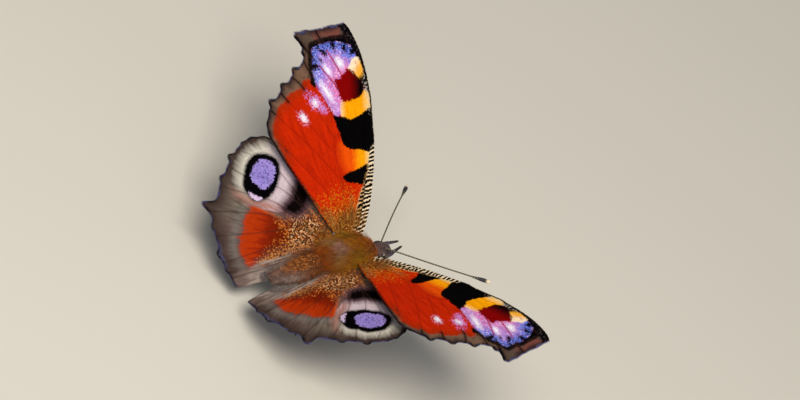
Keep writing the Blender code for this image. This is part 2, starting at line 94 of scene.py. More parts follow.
# How each wing sits: its root, its sweep, dihedral and pitch in degrees, and its bend as the shares of
# u^2, u v and v^2, both sides as on the left
POSES = {
    "forewing_left": (FOREWING, (2.58, -3.0, 0.99), (16.5, 27.9, -0.6), (-0.57, -2.27, 0.32)),
    "forewing_right": (FOREWING, (2.69, -2.99, 1.03), (16.4, 25.8, -11.6), (-0.66, -4.61, 1.26)),
    "hindwing_left": (HINDWING, (2.27, 0.48, -0.48), (-57.9, 4.7, 24.3), (-0.2, 0.58, 0.19)),
    "hindwing_right": (HINDWING, (1.67, 0.66, -0.43), (-54.1, 9.1, 25.3), (-0.2, 0.58, 0.19)),
}
SPAN_UNIT, CHORD_UNIT = 30.0, 15.0

# Wing scales and eye lenses, drawn larger than life
SCALE_SIZE = 0.16
LENS_SIZE = 0.08

# Membrane: its half thickness, the pleat and ridge that carry a vein, the thicker leading edge, the ripples
# towards its margin
MEMBRANE_HALF = 0.05
PLEAT_HEIGHT, PLEAT_WIDTH = 0.13, 0.75
VEIN_HEIGHT, VEIN_WIDTH = 0.07, 0.11
COSTA_HALF, COSTA_WIDTH = 0.13, 0.22
RIPPLE_HEIGHT, RIPPLE_COUNT = 0.1, 11
WING_ROWS, WING_COLUMNS = 205, 185
FRINGE_START, MEMBRANE_END = 0.978, 0.989
# Teeth of the margin: their width as a share of a stretch and how blunt they are; then how far the outer
# margin and the inner bulge are smoothed, and how steeply bulge and teeth grow from root to margin
TOOTH_WIDTH, TOOTH_BLUNTNESS = 0.18, 2.6
TEETH_SMOOTHING, BULGE_SMOOTHING = 0.007, 0.05
BULGE_GROWTH, TEETH_GROWTH = 1.3, 8
# Fringe: from one flat scale to the next, and their width
FRINGE_SPACING, FRINGE_WIDTH = 0.055, 0.11
# Bake map: where the strips of a wing's two faces start and how tall they are, the rim's step outward and
# half the width of a tuft's patch
UPPER_STRIP, LOWER_STRIP = (0.35, 0.64), (0.01, 0.31)
RIM_STEP = 0.004
TUFT_PATCH = 0.0015

# Markings of the forewing as smooth loops through a few corners
BIG_PATCH = ((15.5, 1.8), (15.4, 1.1), (15.35, 0.2), (15.0, -0.75), (15.4, -1.5), (16.0, -2.6),
             (16.7, -3.7), (17.1, -5.0), (14.0, -5.6), (10.7, -5.0), (10.7, -3.2), (10.9, -2.4),
             (11.0, -1.2), (11.1, -0.3), (11.6, 0.4), (13.0, 1.0), (14.4, 1.5))
SMALL_PATCH = ((7.3, 0.85), (7.8, 0.15), (8.15, -0.85), (8.6, -1.85), (9.1, -2.8), (8.6, -3.4), (6.7, -3.2),
               (6.3, -1.9), (6.45, -1.0), (6.5, 0.0), (6.8, 0.6))
YELLOW_WEDGE = ((11.7, 0.3), (11.4, -1.2), (11.3, -3.0), (10.6, -4.2), (9.3, -3.8), (8.6, -2.4),
                (8.0, -0.9), (8.6, 0.1), (10.2, 0.6))
YELLOW_ARC = ((17.3, 0.35), (16.3, 0.45), (15.0, 0.2), (14.6, -0.9), (15.2, -2.4), (16.4, -4.4),
              (17.2, -5.0), (18.0, -4.5), (18.4, -3.75), (18.95, -3.0), (18.7, -1.9), (18.0, -1.0),
              (17.8, -0.1))
UPPER_YELLOW = ((21.9, -1.0), (22.4, -1.35), (23.0, -1.55), (23.4, -2.1), (23.1, -2.6), (22.5, -2.95),
                (21.8, -3.05), (21.2, -2.8), (20.6, -2.3), (21.0, -1.4))
DARK_RED = ((21.87, -0.8), (21.6, -0.35), (21.05, 0.0), (20.6, 0.5), (20.4, 1.15), (19.9, 1.2),
            (19.2, 1.0), (18.5, 0.75), (17.8, 0.45), (17.4, -0.2), (17.7, -1.0), (18.0, -1.8),
            (18.5, -2.5), (19.3, -2.8), (20.2, -2.5), (20.9, -2.0), (21.6, -1.45))
BLUE_FIELD = ((24.6, 4.0), (24.95, 3.4), (25.3, 2.5), (25.45, 1.6), (25.55, 0.5), (25.35, -0.6),
              (24.9, -1.4), (24.0, -1.9), (22.9, -2.0), (21.6, -1.4), (20.6, -0.4), (19.9, 0.4),
              (18.9, 0.4), (17.9, 0.1), (16.8, 0.2), (15.8, 0.6), (15.35, 1.4), (15.8, 1.75), (16.9, 2.4),
              (18.1, 3.15), (19.1, 3.75), (20.0, 4.15), (21.0, 4.25), (22.0, 4.2), (23.0, 4.25),
              (23.9, 4.25))
FIELD_OUTER_EDGE = ((24.0, -2.0), (25.3, -0.7), (25.6, 0.6), (25.3, 2.5), (24.7, 4.0), (23.0, 4.3),
                    (20.7, 4.3))
BLACK_SURROUND = ((19.6, 4.1), (20.5, 4.45), (21.6, 4.5), (23.1, 4.5), (24.5, 4.4), (25.1, 4.0),
                  (25.5, 3.2), (25.75, 2.4), (25.95, 1.3), (26.15, 0.0), (26.1, -1.1), (25.8, -3.0),
                  (24.0, -4.6), (21.0, -5.6), (18.7, -5.0), (18.6, -2.2), (20.0, -1.0), (21.0, 0.5),
                  (21.0, 3.0))
# Black tongues that run into the lilac field: middle, half length, half width, slant in degrees
TONGUES = (((23.95, 2.5), 0.4, 0.3, 35), ((24.5, 3.1), 0.7, 0.14, 38), ((25.0, 1.15), 0.75, 0.24, 10),
           ((24.8, -0.5), 0.65, 0.28, -12), ((22.0, 4.0), 0.65, 0.36, 90), ((22.9, 2.95), 0.3, 0.15, 30),
           ((24.5, -1.75), 0.7, 0.32, -50))
LILAC_BLOT = ((18.65, 5.4), (18.35, 4.75), (17.9, 3.8), (17.2, 3.2), (16.3, 2.7), (15.9, 3.0), (16.2, 4.0),
              (16.5, 4.65), (17.45, 5.25))
BORDER = ((27.9, -2.6), (26.8, -1.4), (26.3, -0.4), (26.1, 1.0), (25.8, 2.4), (25.4, 3.6), (24.95, 4.35),
          (23.0, 4.6), (21.2, 4.55), (20.4, 4.8), (20.2, 5.7), (19.1, 6.3), (18.6, 7.3), (18.0, 8.2),
          (17.2, 8.8), (16.4, 9.7), (15.2, 10.25), (13.7, 10.75), (12.6, 10.8), (11.2, 10.2), (9.4, 9.35),
          (9.0, 9.9), (12.5, 15.0), (24.0, 15.0), (34.0, 8.0), (33.0, -4.0))
# White spots: middle, half length, half width; they point along the veins around them
SPOT_SLANT = math.radians(32.0)
WHITE_SPOTS = (((15.05, 6.15), 0.5, 0.33), ((17.1, 4.28), 0.4, 0.32), ((18.75, 2.5), 1.15, 0.28),
               ((21.7, 2.15), 0.55, 0.24), ((22.75, 0.35), 0.65, 0.38))
COSTAL_BARS = ((0.0, 1.5, 3.5, 5.3, 6.3, 8.3, 9.6, 11.0, 12.0),
               (1.5, 1.7, 1.75, 1.6, 1.2, 0.75, 0.75, 0.6, 0.0))
COSTAL_STRIP = ((12.0, 17.0, 20.0, 22.0, 24.0, 25.0, 26.0, 28.5),
                (0.15, 0.2, 0.28, 0.35, 0.6, 0.85, 1.0, 1.0))
# Bars of the leading edge: from one to the next, depth of a row, slant, shift from row to row
BAR_SPACING, BAR_ROW, BAR_SLANT, BAR_SHIFT = 0.52, 1.0, 0.3, 0.21

# Markings of the hindwing
RING = ((11.8, -9.2), (10.5, -9.35), (9.4, -8.9), (8.9, -7.85), (8.8, -6.55), (9.1, -4.95), (9.6, -3.9),
        (10.4, -3.1), (11.5, -2.7), (12.5, -3.1), (13.25, -3.8), (13.6, -5.1), (13.6, -6.5), (13.4, -7.7),
        (12.75, -8.7))
LILAC_EYE = ((11.7, -8.45), (10.6, -8.65), (9.7, -8.15), (9.4, -7.4), (9.5, -6.2), (9.9, -5.2),
             (10.5, -4.6), (11.6, -4.8), (12.5, -5.25), (12.8, -5.8), (12.6, -7.0), (12.2, -7.85))
CRESCENT = ((12.65, -3.55), (11.8, -3.45), (10.5, -3.2), (11.25, -2.8), (12.2, -2.95))
HALO = ((14.0, -9.3), (14.9, -7.6), (15.0, -5.2), (14.4, -3.5), (13.0, -2.5), (11.2, -2.3), (9.4, -2.6),
        (7.7, -2.9), (6.9, -3.9), (6.5, -5.4), (6.5, -7.3), (7.9, -9.5), (9.5, -10.8), (11.2, -11.1),
        (12.7, -10.4))
SMOKE = ((7.0, -2.75), (6.7, -3.6), (6.25, -4.7), (6.1, -6.0), (5.6, -6.9), (4.9, -6.6), (4.2, -5.7),
         (4.3, -4.6), (4.75, -3.5), (5.5, -2.85))
RED_PATCH = ((11.5, -1.8), (12.1, -0.8), (12.5, 0.4), (12.3, 1.7), (12.6, 2.9), (12.4, 4.3), (11.8, 5.4),
             (10.6, 6.4), (9.85, 6.15), (9.3, 4.9), (8.2, 3.5), (6.7, 1.9), (5.6, 0.5), (6.2, -0.4),
             (7.6, -1.15), (9.2, -1.65))
RED_RIM = ((11.4, -1.8), (9.2, -1.65), (7.6, -1.15), (6.2, -0.4))
SPECKLED_BASE = ((7.3, -1.15), (6.4, -2.4), (5.4, -3.25), (4.05, -3.55), (2.4, -3.3), (0.85, -2.5),
                 (-1.5, -0.5), (0.0, 1.0), (1.75, 1.2), (3.4, 1.9), (5.1, 2.75), (6.7, 3.9), (8.6, 5.4),
                 (9.0, 5.0), (7.8, 3.1), (6.8, 1.6), (6.7, 0.2))
TAN_BAND = ((1.5, 0.6), (4.0, 1.6), (6.0, 2.8), (8.4, 4.8))
PALE_FOLD = ((9.0, 5.6), (6.9, 4.3), (5.1, 3.1), (3.2, 2.2), (1.7, 1.5), (3.4, 3.4), (5.2, 5.2), (6.4, 6.5),
             (8.2, 8.4), (11.0, 9.6), (12.5, 8.8), (11.5, 7.2))

# Body, eyes, feelers, palps and tongue, as in the frame
GAP = 0.3
HEAD_FRONT, HEAD_BACK = -9.3, -6.6
THORAX_FRONT, THORAX_BACK = HEAD_BACK + GAP, 3.4
ABDOMEN_FRONT, ABDOMEN_BACK = THORAX_BACK + GAP, 11.6
HEAD_DROP, NECK_DROP, THORAX_ARCH, ABDOMEN_DROOP = 1.6, 1.1, 0.15, 1.2
# Skin of each part: front, back, half width, half height, and its swell, with the coat's depth taken off
SKIN_PARTS = (
    (HEAD_FRONT, HEAD_BACK, 1.15, 0.95, (0.3, 1.0, 0.6, 0.78)),
    (THORAX_FRONT, THORAX_BACK, 1.95, 1.85, (0.52, 1.0, 0.48, 0.62)),
    (ABDOMEN_FRONT, ABDOMEN_BACK, 1.6, 1.5, (0.86, 1.0, 0.35, 0.2)),
)
NECK_RADIUS = 0.62
BODY_ROWS, BODY_SIDES = 240, 96
ABDOMEN_BANDS, BAND_DEPTH = 8, 0.05
# Colours of skin and fur by their place along the body, and soft spots on it: place along the body, angle
# from the top, length, width in radians, colour
COAT_HUES = ((-9.2, "#6E6880"), (-8.4, "#64505A"), (-7.3, "#6C5252"), (-6.7, "#90400F"), (-5.4, "#B04A06"),
             (-3.6, "#B86C08"), (-0.5, "#AC6206"), (2.6, "#9C4A08"), (3.6, "#70300A"), (5.0, "#723810"),
             (8.0, "#84481C"), (11.6, "#5E4A48"))
SILVER_FLANK = (8.8, 1.2, 2.6, 0.5, "#B0A49E")
COAT_SPOTS = ((0.2, 0.25, 0.95, 0.42, "#B49490"), (2.5, 0.85, 1.2, 0.5, "#B03404"),
              (0.6, 0.75, 0.7, 0.25, "#A8905A"), (-2.2, 0.95, 1.3, 0.5, "#A07A10"),
              (-3.9, 0.2, 0.8, 0.5, "#A85206"), (4.9, 0.3, 0.9, 0.4, "#5A3A44"), SILVER_FLANK,
              (10.8, 0.3, 1.2, 0.8, "#7E6A66"))
UNDERSIDE_HUE = "#3A2A20"
# Locks of the body's fur: how many hairs make one, how far a root is sunk in the skin. Then how hair sways
# to the side and how its rise, length and width vary, on the body and on the wings
LOCK_HAIRS, ROOT_DEPTH = 22, 0.05
FUR_SWAY, FUR_RISE, FUR_LENGTHS = 0.38, (0.6, 1.4), (0.6, 1.15)
WING_HAIR_SWAY, WING_HAIR_RISE, WING_HAIR_LENGTHS = 0.18, (0.5, 1.5), (0.6, 1.2)
HAIR_WIDTHS = (0.7, 1.3)
# The skin's ends close over ROUND_END; the fur's own hues fade over HUE_FADE millimetres before HUE_END
ROUND_END = 0.5
HUE_END, HUE_FADE = 10.4, 2.4
EYE_MIDDLE, EYE_SIZE = (0.95, -7.65, -1.7), (0.58, 0.84, 0.8)
EYE_ROWS, EYE_COLUMNS = 72, 96
ANTENNA_TIPS = {"left": (9.05, -18.95, -2.5), "right": (10.1, -19.1, 0.5)}
ANTENNA_ROOT = (0.5, -7.4, -0.25)
ANTENNA_BOW = {"left": 0.15, "right": 0.1}
ANTENNA_SEGMENTS, ANTENNA_LENGTH = 38, 14.6
SHAFT_RADIUS, CLUB_RADIUS, CLUB_LENGTH = 0.1, 0.29, 3.2
BLUNT_TIP, RING_DEPTH = 0.55, 0.13
PALP_PATH = ((0.9, -8.2, -1.9), (0.78, -9.2, -1.55), (0.45, -10.75, -1.15))
TONGUE_CENTRE = (0.0, -8.6, -4.1)
TONGUE_STEM = ((0.0, -7.8, -2.4), (0.0, -8.0, -3.1))
TONGUE_TURNS, TONGUE_INNER, TONGUE_OUTER = 2.4, 0.3, 1.02
TONGUE_RADIUS, TONGUE_TIP_RADIUS, TONGUE_RINGS = 0.13, 0.06, 140

# Legs, each by its hip and knee in the insect's frame and its ankle and toe on the ground
MID_LEG = ((1.1, -1.7, -1.6), (4.3, -3.4, -2.0), (6.1, -4.4), (8.0, -5.6))
HIND_LEG = ((1.0, 1.2, -1.6), (3.9, 3.6, -2.5), (5.4, 6.2), (6.5, 8.4))
FORE_LEG = ((0.95, -3.9, -1.6), (1.55, -5.5, -3.5), (1.1, -7.4, -3.75))
ANKLE_HEIGHT, TOE_HEIGHT = 0.16, 0.1
FEMUR_RADIUS, TIBIA_RADIUS, FOOT_RADIUS, SLIMMEST = 0.27, 0.19, 0.12, 0.09
LEG_REFERENCE = (0.3, 1.0, 0.2)
CLAW_LENGTH, CLAW_WIDTH = 0.24, 0.07

# Hair on tubes: how many, on which stretch, how they crowd towards its start, how deep they stand, how they
# splay by place, bend, their length by place and its spread, their width by place, their tones
PALP_HAIR = {"count": 900, "stretch": (0, 1), "crowding": 0.8, "depth": 0.9, "splay": ((0, 1), (0.65, 0.13)),
             "bend": -0.15, "length": ((0, 1), (0.5, 0.18)), "spread": (0.7, 1.3),
             "width": ((0, 1), (0.06, 0.06)), "tones": (0.6, 1.6)}
FORE_LEG_HAIR = {"count": 800, "stretch": (0, 0.98), "crowding": 1.0, "depth": 0.85,
                 "splay": ((0, 1), (0.45, 0.45)), "bend": -0.15, "length": ((0, 1), (0.55, 0.55)),
                 "spread": (0.6, 1.2), "width": ((0, 1), (0.06, 0.06)), "tones": (0.5, 1.5)}
LEG_HAIR = {"count": 620, "stretch": (0.03, 0.99), "crowding": 1.0, "depth": 0.85,
            "splay": ((0, 1), (0.35, 0.35)), "bend": -0.1, "spread": (0.6, 1.3), "tones": (0.5, 1.5)}

# The view: where it looks from in the insect's frame, its up, and the point at the picture's middle
VIEW_FROM = Vector((-0.3746, 0.6110, 0.6974))
VIEW_UP = Vector((0.7761, -0.2048, 0.5964))
VIEW_DISTANCE = 800.0
VIEW_LENS = 272.5
PICTURE_MIDDLE = (7.78, 7.30)


def turned(axis, angle):
    """The matrix of a turn about x (0), y (1) or z (2)."""
    c, s = math.cos(angle), math.sin(angle)
    a, b = (axis + 1) % 3, (axis + 2) % 3
    matrix = np.eye(3)
    matrix[a, a], matrix[a, b], matrix[b, a], matrix[b, b] = c, -s, s, c
    return matrix


def stand(points):
    """From the insect's frame in millimetres to the world in metres: tilt, lift and centre."""
    lifted = np.asarray(points, float) @ turned(0, -BODY_TILT).T
    return (lifted + [MIDDLE[0], MIDDLE[1], BODY_HEIGHT]) * MM


def lie_down(points):
    """The other way round: from millimetres over the ground to the insect's own frame."""
    return (np.asarray(points, float) - [0.0, 0.0, BODY_HEIGHT]) @ turned(0, -BODY_TILT)


def unit(vectors):
    """Vectors at length one."""
    return vectors / np.maximum(np.linalg.norm(vectors, axis=-1, keepdims=True), 1e-9)


def mirrored(points, side):
    """The points of the left side, or their mirror image for the right."""
    return np.asarray(points, float) * [SIDES[side], 1, 1]


def cubic(corners, count):
    """A cubic Bezier curve with four corners."""
    t = np.linspace(0, 1, count)[:, None]
    a, b, c, d = (np.array(p, float) for p in corners)
    return (1 - t) ** 3 * a + 3 * t * (1 - t) ** 2 * b + 3 * t ** 2 * (1 - t) * c + t ** 3 * d


def smooth_path(points, count, closed=False):
    """A Catmull-Rom curve through the points, as count points evenly spread over its stretches."""
    points = np.asarray(points, float)
    if closed:
        padded = np.vstack([points[-1], points, points[0], points[1]])
        stretches = len(points)
    else:
        padded = np.vstack([2 * points[0] - points[1], points, 2 * points[-1] - points[-2]])
        stretches = len(points) - 1
    s = np.linspace(0, stretches, count, endpoint=not closed)
    i = np.minimum(s.astype(int), stretches - 1)
    f = (s - i)[:, None]
    a, b, c, d = padded[i], padded[i + 1], padded[i + 2], padded[i + 3]
    square, cube = 2 * a - 5 * b + 4 * c - d, 3 * b - a - 3 * c + d
    return 0.5 * (2 * b + (c - a) * f + square * f ** 2 + cube * f ** 3)


def evenly(path, count):
    """The path again, with its points at equal distances."""
    reach = np.append(0, np.cumsum(np.linalg.norm(np.diff(path, axis=0), axis=1)))
    wanted = np.linspace(0, reach[-1], count)
    return np.stack([np.interp(wanted, reach, path[:, k]) for k in range(path.shape[1])], -1)


def edge_distance(points, path, closed=False):
    """How far each point is from the nearest stretch of the path."""
    start = path if closed else path[:-1]
    step = (np.roll(path, -1, axis=0) if closed else path[1:]) - start
    nearest = np.full(len(points), np.inf)
    for a, b in zip(start, step):
        along = np.clip((points - a) @ b / max(b @ b, 1e-12), 0, 1)
        nearest = np.minimum(nearest, np.hypot(*(points - a - along[:, None] * b).T))
    return nearest


def in_loop(points, corners, per_corner=6):
    """Signed distance to the smooth loop through the corners, above zero inside: a ray along u that
    crosses an odd number of edges starts inside."""
    loop = smooth_path(corners, per_corner * len(corners), closed=True)
    crossings = np.zeros(len(points), int)
    for a, b in zip(loop, np.roll(loop, -1, axis=0)):
        spans = (a[1] > points[:, 1]) != (b[1] > points[:, 1])
        rise = b[1] - a[1] if b[1] != a[1] else 1e-9
        crossings += spans & (points[:, 0] < a[0] + (points[:, 1] - a[1]) * (b[0] - a[0]) / rise)
    return np.where(crossings % 2 == 1, 1, -1) * edge_distance(points, loop, closed=True)


def in_oval(points, middle, half_long, half_wide, slant):
    """About the signed distance to an oval, above zero inside: (1 - its own radius) * its half width."""
    across, back = (points - middle).T
    c, s = math.cos(slant), math.sin(slant)
    radius = np.hypot((across * c + back * s) / half_long, (back * c - across * s) / half_wide)
    return (1 - radius) * half_wide


# Colour and material helpers

def linear(hex_colour):
    """An sRGB hex colour as the linear one that a shader takes."""
    parts = [int(hex_colour[i:i + 2], 16) / 255 for i in (1, 3, 5)]
    return [c / 12.92 if c <= 0.04045 else ((c + 0.055) / 1.055) ** 2.4 for c in parts] + [1.0]


def hues(codes):
    """Several hex colours as rows of linear ones."""
    return np.array([linear(code) for code in codes])


def blend(first, second, share):
    """Colours between two, by a share from 0 to 1 for each point."""
    return first + (second - first) * np.clip(share, 0, 1)[:, None]


def tinted(colours, tones):
    """Colours made lighter or darker, each by its own tone."""
    return np.concatenate([colours[:, :3] * tones[:, None], colours[:, 3:]], -1)


def node(tree, kind, feeds=(), out=0, **settings):
    """Adds a node, sets its properties, feeds its inputs by place or name, and gives one of its outputs."""
    made = tree.nodes.new("ShaderNode" + kind)
    for name, value in settings.items():
        setattr(made, name, value)
    for place, value in feeds.items() if isinstance(feeds, dict) else enumerate(feeds):
        if isinstance(value, bpy.types.NodeSocket):
            tree.links.new(value, made.inputs[place])
        elif value is not None:
            made.inputs[place].default_value = value
    return made.outputs[out]


def new_material(name, **constants):
    """A Principled material with its constants set on the shader's own sockets."""
    material = bpy.data.materials.new(name)
    material.use_nodes = True
    shader = material.node_tree.nodes["Principled BSDF"]
    for socket, value in constants.items():
        shader.inputs[socket.replace("_", " ")].default_value = value
    return material, material.node_tree, shader


def mixed(tree, share, first, second):
    """Two colours mixed by a share from 0 to 1."""
    return node(tree, "Mix", {0: share, 6: first, 7: second}, out=2, data_type="RGBA")


def dress_shader(tree, shader, colour, height=None, strength=0.5, depth=0.0):
    """Gives a shader its colour and, where there is a height, a relief of that depth in millimetres."""
    tree.links.new(colour, shader.inputs["Base Color"])
    if height is not None:
        bump = node(tree, "Bump", {"Strength": strength, "Distance": depth * MM, "Height": height})
        tree.links.new(bump, shader.inputs["Normal"])


def scale_chances(tree):
    """Random numbers about between -0.5 and 0.5: three for each wing scale, one streaked along the veins and
    one in blotches; then the flat map and the fan map. Real scales are about 0.1 by 0.2 mm."""
    flat, fan = (node(tree, "UVMap", uv_map=label) for label in ("flat", "fan"))
    cells = node(tree, "TexVoronoi", {"Vector": flat, "Scale": 1 / SCALE_SIZE}, out="Color")
    chances = []
    for channel in range(3):
        chance = node(tree, "SeparateColor", (cells,), out=channel)
        chances.append(node(tree, "Math", (chance, 0.5), operation="SUBTRACT"))
    along_veins = node(tree, "Mapping", {"Vector": fan, "Scale": (0.3, 2.4, 1.0)})
    for place, size in ((along_veins, 1.0), (flat, 0.45)):
        cloud = node(tree, "TexNoise", {"Vector": place, "Scale": size, "Detail": 4.0})
        chances.append(node(tree, "Math", (cloud, 2.5, -1.25), operation="MULTIPLY_ADD"))
    return chances, flat, fan


def paint(tree, colour, layers, chances):
    """Lays layers of scales over a colour. A layer covers a point where its field in millimetres, shaken by
    its raggedness times one chance, is above zero, fading in over its softness, at most to its strength."""
    for field, layer_colour, softness, raggedness, chance, strength in layers:
        distance = node(tree, "Attribute", out="Fac", attribute_name=field)
        shaken = node(tree, "Math", (chances[chance], raggedness, distance), operation="MULTIPLY_ADD")
        cover = node(tree, "Math", (shaken, 1 / softness, 0.5), operation="MULTIPLY_ADD", use_clamp=True)
        share = node(tree, "Math", (cover, strength), operation="MULTIPLY")
        colour = mixed(tree, share, colour, linear(layer_colour))
    return colour


def finish_scales(tree, shader, colour, chances, flat):
    """Every scale a little lighter or darker than the next, and lifted at its free edge by a fine bump."""
    grain = node(tree, "Math", (chances[1], 0.2, 1.0), operation="MULTIPLY_ADD")
    streaked = node(tree, "Math", (chances[3], 0.1, grain), operation="MULTIPLY_ADD")
    blotched = node(tree, "Math", (chances[4], 0.08, streaked), operation="MULTIPLY_ADD")
    toned = node(tree, "VectorMath", {0: colour, "Scale": blotched}, operation="SCALE")
    relief = node(tree, "TexVoronoi", {"Vector": flat, "Scale": 1 / SCALE_SIZE}, out="Distance")
    dress_shader(tree, shader, toned, relief, 0.5, 0.01)


def costal_bars(tree, colour, chances, flat):
    """The near-black bars across the leading edge: a sine wave along the wing that is slanted, shifted from
    row to row and shaken a little, cut off sharp and kept to the barred strip."""
    across, back = (node(tree, "SeparateXYZ", (flat,), out=axis) for axis in (0, 1))
    depth = node(tree, "Attribute", out="Fac", attribute_name="to_costa")
    rows = node(tree, "Math", (depth, 1 / BAR_ROW), operation="MULTIPLY")
    row = node(tree, "Math", (rows,), operation="FLOOR")
    slanted = node(tree, "Math", (back, BAR_SLANT, across), operation="MULTIPLY_ADD")
    offset = node(tree, "Math", (row, BAR_SHIFT, slanted), operation="MULTIPLY_ADD")
    shaken = node(tree, "Math", (chances[4], 0.5, offset), operation="MULTIPLY_ADD")
    phase = node(tree, "Math", (chances[0], 0.1, shaken), operation="MULTIPLY_ADD")
    turns = node(tree, "Math", (phase, 2 * math.pi / BAR_SPACING), operation="MULTIPLY")
    wave = node(tree, "Math", (turns,), operation="SINE")
    dark_bar = node(tree, "Math", (wave, 3.0, 1.7), operation="MULTIPLY_ADD", use_clamp=True)
    barred = node(tree, "Attribute", out="Fac", attribute_name="bars")
    in_bars = node(tree, "Math", (barred, 5.0, 0.5), operation="MULTIPLY_ADD", use_clamp=True)
    share = node(tree, "Math", (dark_bar, in_bars), operation="MULTIPLY")
    return mixed(tree, share, colour, linear("#050304"))


def forewing_scales():
    """Matt pigment scales, brick red over black, with the eyespot's light-scattering lilac and blue ones:
    each a flat chip of one colour, so that every edge between two colours is ragged."""
    material, tree, shader = new_material("forewing_scales", Roughness=0.75, Specular_IOR_Level=0.02)
    chances, flat, _fan = scale_chances(tree)
    share = node(tree, "Math", (chances[3], 0.5, 0.5), operation="MULTIPLY_ADD", use_clamp=True)
    ground = mixed(tree, share, linear("#AC1A02"), linear("#CE2D04"))
    colour = paint(tree, ground, (
        ("red_edge", "#8E2A08", 1.2, 0.3, 4, 0.6),
        ("root", "#9A3A06", 2.2, 1.0, 3, 0.9),
        ("root_specks", "#C86C12", 0.3, 2.6, 2, 0.85),
        ("root_core", "#96500E", 1.5, 1.0, 0, 0.8),
        ("root_core_specks", "#E8B050", 0.3, 2.4, 1, 0.85),
        ("root_core_specks", "#1A0C04", 0.3, 2.6, 0, 0.9),
        ("vein_red", "#5E0C04", 0.14, 0.05, 0, 0.35),
        ("wedge", "#E65206", 1.4, 0.3, 4, 0.95),
        ("wedge_yellow", "#F2A008", 1.3, 0.3, 1, 1.0),
        ("wedge_cream", "#F2CE86", 0.7, 0.3, 2, 0.9),
        ("surround", "#040307", 0.12, 0.22, 1, 1.0),
        ("field", "#BE86D0", 0.14, 0.3, 2, 1.0),
        ("field_rose", "#E67AB0", 0.9, 1.8, 0, 0.9),
        ("field_blue", "#5B7AE2", 1.0, 1.6, 1, 0.95),
        # field specks: the violet ones are the field's own, the pale lilac ones are painted glints
        ("field_specks_and_glints", "#7E5CC0", 0.3, 3.2, 2, 0.7),
        ("field_specks_and_glints", "#EAD0F6", 0.3, 2.9, 1, 0.6),
        ("field_dots", "#20205A", 0.25, 2.2, 2, 0.85),
        ("tongues", "#05040A", 0.12, 0.4, 1, 1.0),
        ("upper_yellow", "#F2AC38", 0.3, 0.35, 0, 1.0),
        ("upper_cream", "#F8E2C4", 0.8, 0.5, 0, 0.95),
        ("yellow", "#F3A005", 0.25, 0.25, 1, 1.0),
        ("yellow_cream", "#F2CE86", 0.9, 0.4, 2, 0.95),
        ("black_patches", "#030203", 0.12, 0.2, 0, 1.0),
        ("blot", "#D07ABE", 0.2, 1.5, 0, 0.85),
        ("blot_core", "#B795EA", 0.3, 1.3, 2, 0.9),
        ("white_haze", "#D6C0F2", 0.5, 0.7, 2, 0.8),
        ("white", "#F8F5FF", 0.42, 0.25, 0, 0.95),
        ("vein_crimson", "#A00E34", 0.14, 0.06, 0, 0.9),
        ("dark_red", "#7E0202", 0.12, 0.4, 1, 1.0),
        ("dark_red_shade", "#050203", 1.5, 0.3, 2, 1.0),
        ("costal_specks", "#C4BAB0", 0.4, 0.9, 2, 0.8),
        ("border", "#745949", 0.3, 0.25, 0, 1.0),
        ("border_apex", "#54443C", 1.2, 0.5, 4, 0.9),
        ("border_tip", "#74423A", 0.7, 2.6, 4, 0.85),
        ("border_costal", "#2A2228", 1.0, 0.6, 4, 0.95),
        ("border_edge", "#2A2022", 0.9, 0.9, 4, 0.95),
        ("border_inner", "#060407", 0.3, 0.25, 1, 0.95),
        ("vein_border", "#3C2620", 0.9, 0.5, 3, 0.75),
        ("vein_border", "#0C0708", 0.22, 0.08, 0, 1.0),
        ("costal_strip", "#08060A", 0.2, 0.2, 1, 1.0),
        ("costal_grey", "#5C5452", 0.3, 1.7, 2, 0.6),
        ("dark_edge", "#0A070B", 0.18, 0.12, 0, 0.95),
        # near-black line along the hind edge: partly the wing's own dark edge, partly painted shadow where
        # the forewing lies over the hindwing
        ("hind_edge_line_and_shadow", "#140A0A", 0.35, 0.2, 0, 0.95),
        ("costal_line", "#040304", 0.12, 0.1, 0, 1.0),
        ("bars", "#EAD6B4", 0.12, 0.15, 2, 1.0),
        ("bars_gold", "#C89448", 0.5, 0.3, 2, 0.85),
    ), chances)
    colour = costal_bars(tree, colour, chances, flat)
    colour = paint(tree, colour, (("bar_gap", "#050304", 0.1, 0.12, 0, 0.95),), chances)
    finish_scales(tree, shader, colour, chances, flat)
    return material


